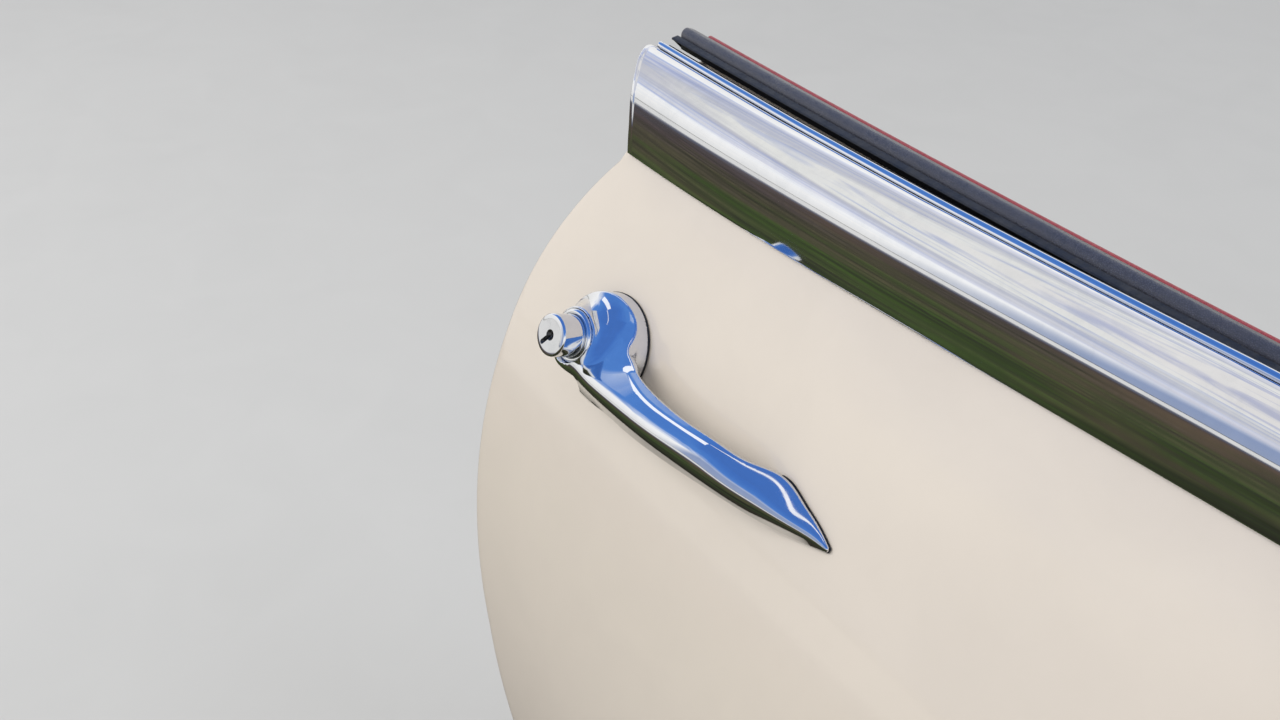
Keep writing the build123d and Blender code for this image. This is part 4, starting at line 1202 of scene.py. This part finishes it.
def gasketField(u, v, w):
    # Thin rubber between casting and skin, a little wider than the casting's footprint
    size = {"middle": 0.66, "half": 0.34, "spread": 0.30, "probe": 1.6, "round": 0.3}
    arch = u * (handleSize["length"] - u) / (2 * bodySide["planRadius"]) - v**2 / (2 * bodySide["sectionRadius"])
    foot = handleField(u, v, arch + size["probe"])
    return roundMeet(np.abs(w - arch - size["middle"]) - size["half"], foot - size["spread"], size["round"])


def barrelPlace():
    foot = np.array([*handleSize["bossCentre"], 0.0])
    return handleTurn @ barrelAxes(), handleTurn @ foot + handleBase


def aboutUp(angle):
    a = radians(angle)
    return np.array([[cos(a), -sin(a), 0], [sin(a), cos(a), 0], [0, 0, 1]])


def cutWith(piece, cutter):
    work = piece.modifiers.new("cut", "BOOLEAN")
    work.operation, work.solver, work.object = "DIFFERENCE", "EXACT", cutter
    applyModifiers(piece)
    bpy.data.objects.remove(cutter)


def makeBarrel():
    size = {"chamfer": 1.0, "eye": 2.6, "slotLength": 7.6, "slotWidth": 2.3, "slotAngle": 235.0, "depth": 3.0}
    s, place = handleSize, barrelPlace()
    r, top, foot = s["barrelRadius"], s["barrelReach"], s["barrelFoot"]
    chamfer, depth = size["chamfer"], size["depth"]
    corners = [(0.0, foot), (r, foot), (r, top - chamfer), (r - chamfer * 0.6, top - 0.15), (r - 2.2, top), (0.0, top)]
    barrel = lathe("lockBarrel", softProfile(corners, 0.4), place, finishes["chrome"], around=128)
    eye, half, length = size["eye"], size["slotWidth"] / 2, size["slotLength"]
    start = np.degrees(asin(half / eye))
    ring = [(eye * cos(radians(a)), eye * sin(radians(a))) for a in np.linspace(start, 360 - start, 40)]
    tip = [(length - half + half * cos(radians(a)), half * sin(radians(a))) for a in np.linspace(-90, 90, 9)]
    rim = np.array(ring + tip)
    turn = aboutUp(size["slotAngle"]).T @ place[0].T
    raised = lambda run, level: np.array([(x, y, level) for x, y in run]) @ turn + place[1]
    hole = np.array([raised(rim, level) for level in (top - depth, top + depth)])
    cutWith(barrel, closedSweep("keyhole", hole, finishes["chrome"]))
    evenShading(barrel)
    # Painted shade inside the keyhole: a thin black cup just clear of its walls
    middle = rim.mean(0)
    inward = (middle - rim) / np.hypot(*(rim - middle).T)[:, None]
    corners = ((0.04, 0.35), (0.04, depth - 0.03), (0.30, depth - 0.4), (0.30, 0.35))
    cup = np.array([raised(rim + clear * inward, top - below) for clear, below in corners])
    outerTop, outerLow, innerLow, innerTop = np.arange(4 * len(rim)).reshape(4, -1)
    faces = bridge(outerTop, outerLow) + bridge(innerLow, innerTop) + bridge(outerTop, innerTop)
    faces += [outerLow.tolist(), innerLow.tolist()]
    innerFaceAndShadeCup = makeMesh("keyholePaintedShade", cup, faces, finishes["knob_black"])
    settle(innerFaceAndShadeCup, "door", "knob_black")
    settle(barrel, "door", "chrome", "lock_barrel")


def makeRing():
    s = handleSize
    inner, outer, foot, top = s["barrelRadius"] + 0.1, s["ringRadius"], s["barrelFoot"], s["ringReach"]
    corners = [
        (inner, foot), (outer, foot), (outer, top - 0.9), (outer - 0.9, top), (inner + 0.5, top),
        (inner, top - 0.5), (inner, foot),
    ]
    turnedPiece("barrelSeatRing", corners, 0.35, barrelPlace(), "chrome", "barrel_seat", around=128)


casting = netPiece(
    "handleCasting", handleField, (-28.5, -24.5, -4.0), (167.0, 26.5, 30.5), 0.62, "chrome", "handle_body",
)
castingViewers.objects.link(casting)
netPiece("pedestalGasket", gasketField, (-29, -24, -2.2), (35, 27, 2.6), 0.42, "rubber", "rear_gasket")
netPiece("footGasket", gasketField, (115, -13, -1.2), (168, 10, 2.2), 0.42, "rubber", "front_gasket")
makeBarrel()
makeRing()
print("handle made")


# Inside: trim casing with sewn channels, moulding, winder and release lever

def casingPlace(x, z, v=169.632):
    # Local x runs to the rear, y up and z into the car
    a = asin((x - bodySide["widestX"]) / (bodySide["planRadius"] - v))
    axes = np.array([[-cos(a), 0, -sin(a)], [-sin(a), 0, cos(a)], [0, 1, 0]])
    return axes, bodyPoints(x, v, z)


controls = {
    "winder": {
        "x": -330.0, "z": -26.0, "boss": 11.0, "bossTop": 18.0, "low": 12.5, "high": 18.0,
        "length": 92.0, "tip": 7.5, "turn": 140.0,
    },
    "release": {
        "x": -640.0, "z": 118.0, "boss": 10.0, "bossTop": 15.0, "low": 10.0, "high": 15.0,
        "length": 84.0, "tip": 5.5, "turn": 0.0,
    },
}
moulding = {"rear": -855.5, "front": -85.9, "middle": 214.0, "half": 4.5, "base": 169.632, "rise": 2.4, "spacing": 8.0}
casing = {
    "inset": 14.0, "lowZ": -196.0, "topZ": 273.5, "backV": 164.332, "edgeV": 166.6, "level": 3.3, "edgeRoll": 8.0,
    "seam": 26.0, "fieldLow": -166.0, "fieldHigh": 74.0, "channels": 6, "swell": 4.2, "swellEase": 16.0,
    "seamDepth": 2.2, "seamWidth": 1.5, "plainSeam": 196.0, "crown": 1.4, "crownReach": 45.0,
    "pressed": 2.75, "underMoulding": 2.8,
    "backRound": 0.6,
}


def casingRows():
    # Heights of the mesh rows, close together at every sewn line
    c = casing
    seams = list(np.linspace(c["fieldLow"], c["fieldHigh"], c["channels"] + 1)) + [c["plainSeam"]]
    rim = (0, 0.5, 1.3, 2.5, 4, 6, 9, 13)
    rows = [c["lowZ"] + d for d in rim] + [c["topZ"] - d for d in rim]
    beside = (0.7, 1.4, 2.3, 3.6, 5.5, 8)
    rows += [seam + d for seam in seams for d in (0, *beside, *(-d for d in beside))]
    rows += [z for z in np.arange(c["lowZ"] + 17, c["topZ"] - 15, 6.0) if min(abs(z - s) for s in seams) > 10]
    rows += [z for s in seams for z in (s - 11.5, s + 11.5) if c["lowZ"] + 15 < z < c["topZ"] - 15]
    rows = np.array(sorted(rows))
    return rows[np.concatenate([[True], np.diff(rows) > 0.35])], seams


def casingSides(rows):
    c, o = casing, outline
    rear = rearCurve(c["inset"], c["lowZ"], c["topZ"], 1500)
    rearX = np.interp(rows, rear[:, 1], rear[:, 0])
    centre = (o["frontX"] - o["cornerRadius"], o["heel"][1] + o["cornerRadius"])
    radius = o["cornerRadius"] - c["inset"]
    below = np.minimum(rows - centre[1], 0)
    frontX = centre[0] + np.sqrt(np.maximum(radius**2 - below**2, 0))
    return rearX, frontX


def casingHeight(x, z, fromEdge, fromRear, fromFront, seams):
    c = casing
    roll = np.sqrt(1 - (1 - np.clip(fromEdge / c["edgeRoll"], 0, 1)) ** 2)
    height = c["level"] * roll + c["crown"] * (1 - np.exp(-fromEdge / c["crownReach"]))
    inField = np.minimum(fromRear, fromFront) - c["seam"]
    pitch = seams[1] - seams[0]
    share = np.clip((z - seams[0]) / pitch, 0, c["channels"])
    across = (share % 1.0) * 2 - 1
    within = (z > seams[0]) & (z < seams[c["channels"]])
    bulge = np.sqrt(np.maximum(1 - across**2, 0)) * easeIn(inField / c["swellEase"]) * within
    pucker = 1 + 0.05 * np.sin(x / 6.1 + 2 * np.floor(share)) + 0.04 * np.sin(x / 2.7 + share)
    height = height + c["swell"] * bulge * pucker
    sewn = lambda d: np.exp(-(d / c["seamWidth"]) ** 2)
    rowSeams = np.maximum.reduce([sewn(z - s) for s in seams[:-1]]) * (inField > -0.5)
    sideSeams = sewn(inField) * ((z > seams[0] - 1) & (z < seams[c["channels"]] + 1))
    height = height - c["seamDepth"] * np.maximum.reduce([rowSeams, sideSeams, sewn(z - seams[-1])])
    # Pressed down round the fittings and under the moulding
    for facts in controls.values():
        away = np.hypot(x - facts["x"], z - facts["z"])
        height = np.minimum(height, c["pressed"] + 0.05 * np.maximum(away - 24, 0) ** 1.5 + 40 * (away > 60))
    m = moulding
    strip = np.maximum(np.abs(z - m["middle"]) - m["half"], np.maximum(m["rear"] - x, x - m["front"]))
    return np.minimum(height, c["underMoulding"] + 0.12 * np.maximum(strip, 0) ** 1.5)


def makeCasing():
    c = casing
    rows, seams = casingRows()
    rearX, frontX = casingSides(rows)
    near = [0, 0.5, 1.3, 2.5, 4, 6, 9, 13, 17, 20.5, 22.8, 24.3, 25.3, 26, 26.7, 27.7, 29.2, 32, 36, 41, 47]
    width = frontX - rearX
    middle = np.linspace(0, 1, 150)[1:-1]
    table = [np.full(len(rows), d) for d in near]
    table += [near[-1] + (width - 2 * near[-1]) * m for m in middle]
    table += [width - d for d in near[::-1]]
    fromRear = np.stack(table, 1)
    x = rearX[:, None] + fromRear
    z = np.repeat(rows[:, None], x.shape[1], 1)
    count, across = x.shape
    loop = borderLoop(count, across)
    border = np.stack([x.ravel()[loop], z.ravel()[loop]], 1)
    flat = np.stack([x.ravel(), z.ravel()], 1)
    nearest = lambda part: np.sqrt(((part[:, None] - border[None]) ** 2).sum(-1)).min(1)
    fromEdge = np.concatenate([nearest(part) for part in np.array_split(flat, 40)]).reshape(x.shape)
    height = casingHeight(x, z, fromEdge, fromRear, width[:, None] - fromRear, seams)
    front = bodyPoints(x, c["edgeV"] + height, z).reshape(-1, 3)
    rim = bodyPoints(border[:, 0], c["backV"] + c["backRound"], border[:, 1])
    flat[loop] -= outwardMitre(border) * c["backRound"]
    back = bodyPoints(flat[:, 0], c["backV"], flat[:, 1])
    points = np.concatenate([front, rim, back])
    faces = gridFaces(count, across).tolist()
    start, n = count * across, len(loop)
    chain = [loop, np.arange(n) + start, loop + start + n]
    for one, two in zip(chain, chain[1:]):
        faces += bridge(one, two)
    faces += gridFaces(count, across, start=start + n, flip=True).tolist()
    panel = makeMesh("trimCasingPad", points, faces, finishes["red_trim"])
    settle(panel, "door", "red_trim", "trim_casing")
    makeStitches(rows, rearX, frontX, seams)
    print("casing made:", len(points), "points")


def geometryTree(name, inputs):
    tree = bpy.data.node_groups.new(name, "GeometryNodeTree")
    tree.interface.new_socket(name="Geometry", in_out="INPUT", socket_type="NodeSocketGeometry")
    names = {}
    for label, kind, value in inputs:
        socket = tree.interface.new_socket(name=label, in_out="INPUT", socket_type=kind)
        if value is not None:
            socket.default_value = value
        names[label] = socket.identifier
    tree.interface.new_socket(name="Geometry", in_out="OUTPUT", socket_type="NodeSocketGeometry")
    return tree, tree.nodes.new("NodeGroupInput").outputs, tree.nodes.new("NodeGroupOutput").inputs, names


def spread(tree, points, instance, rotation):
    placed = {"Points": points, "Instance": instance, "Rotation": rotation}
    placed = addNode(tree, "GeometryNodeInstanceOnPoints", placed).outputs[0]
    return addNode(tree, "GeometryNodeRealizeInstances", {"Geometry": placed}).outputs[0]


def finished(tree, geometry, finish, out):
    done = addNode(tree, "GeometryNodeSetMaterial", {"Geometry": geometry, "Material": finish})
    tree.links.new(done.outputs[0], out["Geometry"])


def stitchTree():
    # Rows of thread stitches along the edges of a mesh of open lines
    tree, given, out, names = geometryTree("seamStitches", [
        ("Spacing", "NodeSocketFloat", 0.0045), ("Length", "NodeSocketFloat", 0.0030),
        ("Thread", "NodeSocketFloat", 0.00042),
        ("Facing", "NodeSocketVector", (0.0, 1.0, 0.0)), ("Finish", "NodeSocketMaterial", None),
    ])
    lines = addNode(tree, "GeometryNodeMeshToCurve", {"Mesh": given["Geometry"]}).outputs[0]
    steps = {"Curve": lines, "Length": given["Spacing"]}
    spaced = addNode(tree, "GeometryNodeResampleCurve", steps, mode="LENGTH").outputs[0]
    times = lambda label, by: mathOf(tree, "MULTIPLY", given[label], by)
    start, top, end = (
        addNode(tree, "ShaderNodeCombineXYZ", place).outputs[0] for place in (
            {"X": times("Length", -0.5), "Z": times("Thread", -0.9)},
            {"Z": times("Thread", 1.9)},
            {"X": times("Length", 0.5), "Z": times("Thread", -0.9)},
        )
    )
    bow = {"Resolution": 4, "Start": start, "Middle": top, "End": end}
    arch = addNode(tree, "GeometryNodeCurveQuadraticBezier", bow).outputs[0]
    ring = addNode(tree, "GeometryNodeCurvePrimitiveCircle", {"Resolution": 6, "Radius": given["Thread"]}).outputs[0]
    swept = {"Curve": arch, "Profile Curve": ring, "Fill Caps": True}
    stitch = addNode(tree, "GeometryNodeCurveToMesh", swept).outputs[0]
    tangent = addNode(tree, "GeometryNodeInputTangent").outputs[0]
    along = addNode(tree, "FunctionNodeAlignRotationToVector", {"Vector": tangent}, axis="X").outputs[0]
    upright = {"Rotation": along, "Vector": given["Facing"]}
    facing = addNode(tree, "FunctionNodeAlignRotationToVector", upright, axis="Z", pivot_axis="X").outputs[0]
    real = spread(tree, spaced, stitch, facing)
    smooth = addNode(tree, "GeometryNodeSetShadeSmooth", {"Geometry": real}).outputs[0]
    finished(tree, smooth, given["Finish"], out)
    return tree, names


def fastenerTree():
    # Heads on every vertex, turned to its facing attribute: hexagon bolts on washers, or cross-slot screws
    tree, given, out, names = geometryTree("fastenerHeads", [
        ("Radius", "NodeSocketFloat", 0.0065), ("Height", "NodeSocketFloat", 0.004),
        ("Slotted", "NodeSocketBool", False),
        ("Seed", "NodeSocketInt", 3), ("Finish", "NodeSocketMaterial", None),
    ])
    r, h = given["Radius"], given["Height"]
    scaled = lambda value, by: mathOf(tree, "MULTIPLY", value, by)

    def lifted(mesh, z):
        rise = addNode(tree, "ShaderNodeCombineXYZ", {"Z": z}).outputs[0]
        return addNode(tree, "GeometryNodeTransform", {"Geometry": mesh, "Translation": rise}).outputs[0]

    def cone(sides, low, high, depth):
        facts = {"Vertices": sides, "Radius Bottom": low, "Radius Top": high, "Depth": depth}
        return addNode(tree, "GeometryNodeMeshCone", facts).outputs["Mesh"]

    washer = cone(40, scaled(r, 1.28), scaled(r, 1.22), scaled(h, 0.24))
    hexagon = lifted(cone(6, r, r, scaled(h, 0.62)), scaled(h, 0.2))
    crown = lifted(cone(6, r, scaled(r, 0.82), scaled(h, 0.14)), scaled(h, 0.82))
    bolt = addNode(tree, "GeometryNodeJoinGeometry")
    for part in (washer, hexagon, crown):
        tree.links.new(part, bolt.inputs[0])
    head = cone(40, r, scaled(r, 0.80), scaled(h, 0.55))
    size = addNode(tree, "ShaderNodeCombineXYZ", {"X": scaled(r, 1.25), "Y": scaled(r, 0.24), "Z": h}).outputs[0]
    bar = lifted(addNode(tree, "GeometryNodeMeshCube", {"Size": size}).outputs["Mesh"], scaled(h, 0.78))
    crossed = addNode(tree, "GeometryNodeTransform", {"Geometry": bar, "Rotation": (0.0, 0.0, pi / 2)}).outputs[0]
    cut = addNode(tree, "GeometryNodeMeshBoolean", {"Mesh 1": head}, operation="DIFFERENCE", solver="EXACT")
    for part in (bar, crossed):
        tree.links.new(part, cut.inputs["Mesh 2"])
    either = {"Switch": given["Slotted"], "False": bolt.outputs[0], "True": cut.outputs["Mesh"]}
    choice = addNode(tree, "GeometryNodeSwitch", either, input_type="GEOMETRY").outputs[0]
    facing = addNode(tree, "GeometryNodeInputNamedAttribute", {"Name": "facing"}, data_type="FLOAT_VECTOR").outputs[0]
    outward = addNode(tree, "FunctionNodeAlignRotationToVector", {"Vector": facing}, axis="Z").outputs[0]
    spin = addNode(tree, "FunctionNodeRandomValue", {"Seed": given["Seed"]}, data_type="FLOAT")
    spin.inputs[2].default_value, spin.inputs[3].default_value = 0.0, pi
    about = {"Axis": (0.0, 0.0, 1.0), "Angle": spin.outputs[1]}
    turned = addNode(tree, "FunctionNodeAxisAngleToRotation", about).outputs[0]
    both = {"Rotation": outward, "Rotate By": turned}
    rotation = addNode(tree, "FunctionNodeRotateRotation", both, rotation_space="LOCAL").outputs[0]
    points = addNode(tree, "GeometryNodeMeshToPoints", {"Mesh": given["Geometry"]}).outputs[0]
    finished(tree, spread(tree, points, choice, rotation), given["Finish"], out)
    return tree, names


def scattered(name, points, edges, tree, names, values, facing=None):
    # A carrier mesh, the node tree on it, and the result as a plain mesh
    mesh = bpy.data.meshes.new(name)
    mesh.from_pydata((np.asarray(points) * 0.001).tolist(), edges, [])
    if facing is not None:
        directions = mesh.attributes.new("facing", "FLOAT_VECTOR", "POINT")
        directions.data.foreach_set("vector", np.asarray(facing, float).ravel())
    piece = bpy.data.objects.new(name, mesh)
    bpy.context.scene.collection.objects.link(piece)
    work = piece.modifiers.new(name, "NODES")
    work.node_group = tree
    for label, value in values.items():
        work[names[label]] = value
    applyModifiers(piece)
    tidyMesh(piece.data)
    return piece


def makeStitches(rows, rearX, frontX, seams):
    c, runs = casing, []
    size = {"controlClear": 27.0, "upperInset": 9.0, "end": 2.0, "step": 4.0, "lift": 0.25}
    seamV = c["edgeV"] + c["level"] - c["seamDepth"] + size["lift"]
    sewnAt = lambda x, z, crown: bodyPoints(x, seamV + c["crown"] * crown, z)
    for z in seams:
        rear, front = np.interp(z, rows, rearX), np.interp(z, rows, frontX)
        inset = size["end"] + (c["seam"] if z != seams[-1] else size["upperInset"])
        x = np.arange(rear + inset, front - inset, size["step"])
        clear = np.all([np.hypot(x - f["x"], z - f["z"]) > size["controlClear"] for f in controls.values()], axis=0)
        cuts = np.where(np.diff(clear.astype(int)) != 0)[0] + 1
        for part, kept in zip(np.split(x, cuts), np.split(clear, cuts)):
            if len(part) > 2 and kept[0]:
                runs.append(sewnAt(part, z, 0.93))
    z = np.arange(seams[0] + 3, seams[-2] - 3, size["step"])
    for edge in (np.interp(z, rows, rearX) + c["seam"], np.interp(z, rows, frontX) - c["seam"]):
        runs.append(sewnAt(edge, z, 0.43))
    points, edges = [], []
    for run in runs:
        edges += [(len(points) + k, len(points) + k + 1) for k in range(len(run) - 1)]
        points += run.tolist()
    tree, names = stitchTree()
    thread = {"Spacing": 0.0046, "Length": 0.0031, "Finish": threadFinish}
    stitches = scattered("casingStitches", points, edges, tree, names, thread)
    settle(stitches, "door", "red_trim")


def makeMoulding():
    m = moulding
    half = m["half"]
    angles = np.radians(np.linspace(0, 180, 21))
    profile = [(m["rise"] * sin(a), half * cos(a)) for a in angles]
    ends = [(half * (1 - cos(radians(a))), sin(radians(a))) for a in (3, 12, 25, 40, 55, 70, 90)]
    stations = [(m["rear"] + d, f) for d, f in ends]
    stations += [(x, 1.0) for x in np.arange(m["rear"] + half + 4, m["front"] - half - 4, m["spacing"])]
    stations += [(m["front"] - d, f) for d, f in reversed(ends)]
    rings = []
    for x, f in stations:
        depths = [m["base"] + rise * (0.4 + 0.6 * f) for rise, _ in profile]
        rings.append(bodyPoints(x, depths, [m["middle"] + side * f for _, side in profile]))
    strip = closedSweep("casingMouldingStrip", np.array(rings), finishes["chrome"])
    evenShading(strip)
    settle(strip, "door", "chrome", "casing_moulding")


def makeEscutcheon(name, facts, node):
    bore = facts["boss"] + 0.3
    corners = [
        (bore, 0.0), (24.0, 0.0), (24.0, 0.9), (22.9, 1.5), (21.8, 1.5), (20.6, 2.6), (15.5, 3.8), (bore + 0.8, 4.0),
        (bore, 3.6), (bore, 0.0),
    ]
    turnedPiece(name, corners, 0.5, casingPlace(facts["x"], facts["z"]), "chrome", node, around=96)


def crankPoints(facts):
    # Tapering crowned arm between boss and tip, sections along local x
    root, tip, length, low, high = (facts[k] for k in ("boss", "tip", "length", "low", "high"))
    stations = [-root * cos(radians(a)) for a in (6, 18, 32, 48, 66)]
    stations += list(np.linspace(0, length, 26)) + [length + tip * sin(radians(a)) for a in (24, 42, 58, 72, 84)]
    around = np.radians(np.linspace(0, 360, 33)[:-1])
    rings = []
    for u in stations:
        if u < 0:
            half = sqrt(max(root**2 - u**2, 0))
        elif u > length:
            half = sqrt(max(tip**2 - (u - length) ** 2, 0))
        else:
            slim = 1 - 0.16 * sin(pi * u / length) ** 2
            half = (root + (tip - root) * (u / length) ** 0.8) * slim
        thick = (high - low) / 2 * min(1.0, 0.55 + half / 9.0)
        middle = low + (high - low) / 2 - 0.4 * sin(pi * np.clip(u / length, 0, 1))
        ring = []
        for a in around:
            c, s = cos(a), sin(a)
            y = half * np.sign(c) * abs(c) ** 0.8
            w = thick * np.sign(s) * abs(s) ** (0.75 if s > 0 else 0.5)
            ring.append((u, y, middle + w))
        rings.append(ring)
    return np.array(rings)


def makeCrank(name, facts, node):
    axes, origin = casingPlace(facts["x"], facts["z"])
    spin = axes @ aboutUp(facts["turn"])
    arm = closedSweep(name, crankPoints(facts) @ spin.T + origin, finishes["chrome"])
    root, top = facts["boss"], facts["bossTop"]
    corners = [
        (0.0, 0.0), (root - 0.3, 0.0), (root - 0.3, top - 6), (root, top - 5), (root, top - 1.6),
        (root - 1.6, top - 0.1), (4.2, top), (4.2, top - 1.2), (3.4, top - 1.2), (3.0, top - 0.6), (0.0, top - 0.5),
    ]
    boss = lathe(name + "Boss", softProfile(corners, 0.6), (spin, origin), finishes["chrome"], around=72)
    work = bmesh.new()
    work.from_mesh(arm.data)
    work.from_mesh(boss.data)
    work.to_mesh(arm.data)
    work.free()
    bpy.data.objects.remove(boss)
    evenShading(arm)
    settle(arm, "door", "chrome", node)


def makeKnob():
    facts = controls["winder"]
    axes, origin = casingPlace(facts["x"], facts["z"])
    place = (axes, origin + axes @ aboutUp(facts["turn"]) @ np.array([facts["length"], 0.0, 0.0]))
    grip = [
        (0.0, 18.3), (6.4, 18.3), (6.4, 20.0), (5.6, 22.0), (6.2, 26.0), (9.4, 31.0), (10.5, 36.0), (9.8, 40.2),
        (6.5, 42.2), (0.0, 42.3),
    ]
    collar = [(6.45, 18.35), (7.6, 18.35), (7.6, 20.6), (6.45, 20.9), (6.45, 18.35)]
    turnedPiece("winderKnobGrip", grip, 2.0, place, "knob_black", "winder_knob", steps=6, even=False)
    turnedPiece("winderKnobCollar", collar, 0.4, place, "chrome")


makeCasing()
makeMoulding()
for label, facts in controls.items():
    makeEscutcheon(label + "Rosette", facts, label + "_escutcheon")
makeCrank("winderCrank", controls["winder"], "winder_arm")
makeCrank("releaseLeverArm", controls["release"], "release_lever")
makeKnob()
print("inside made")


# Edges: buffers and fasteners
def shutPlace(z, y, inset):
    # Point on the rear shut face drawn in by inset, with its outward direction
    run = rearCurve(inset, z - 2, z + 2, 5)
    along = (run[-1] - run[0]) / np.hypot(*(run[-1] - run[0]))
    return np.array([run[2, 0], y, z]), np.array([-along[1], 0.0, along[0]])


def makeBuffer(name, z, node):
    size = {"radius": 9.0, "height": 6.0, "y": 36.0, "inset": 10.7}
    origin, out = shutPlace(z, size["y"], size["inset"])
    side = np.array([0.0, 1.0, 0.0])
    axes = np.stack([np.cross(side, out), side, out], 1)
    r, h = size["radius"], size["height"]
    corners = [
        (0.0, 0.0), (r, 0.0), (r, 1.6), (r - 1.3, 2.4), (r - 2.1, h - 0.9), (r - 3.2, h), (3.2, h), (2.6, h - 1.6),
        (0.0, h - 1.8),
    ]
    turnedPiece(name, corners, 0.8, (axes, origin), "rubber", node, around=64)


def makeFasteners():
    tree, names = fastenerTree()
    steel = finishes["steel"]
    bolt = {"Radius": 0.0065, "Height": 0.0042, "Finish": steel}
    screw = {"Radius": 0.0042, "Height": 0.0022, "Slotted": True, "Seed": 2, "Finish": steel}
    holes = [(y, z) for y in (-18.0, 18.0) for z in (-44.0, 44.0)]
    screws = [shutPlace(z, y, 8.1) for z in (38.0, 118.0) for y in (3.5, 36.5)]
    rows = (
        ("postLeafBolts", "hinge_post", [(-6.5, y, z) for y, z in holes], dict(bolt, Seed=5), [(-1, 0, 0)] * 4),
        ("doorLeafBolts", "door", [(-32.2, y - 7.0, z) for y, z in holes], dict(bolt, Seed=9), [(1, 0, 0)] * 4),
        ("latchPlateScrews", "door", [place for place, _ in screws], screw, [out for _, out in screws]),
    )
    for name, body, places, facts, outward in rows:
        settle(scattered(name, places, [], tree, names, facts, outward), body, "steel")


makeBuffer("upperBufferPad", 182.4, "upper_buffer")
makeBuffer("lowerBufferPad", -41.4, "lower_buffer")
makeFasteners()
print("edges made")
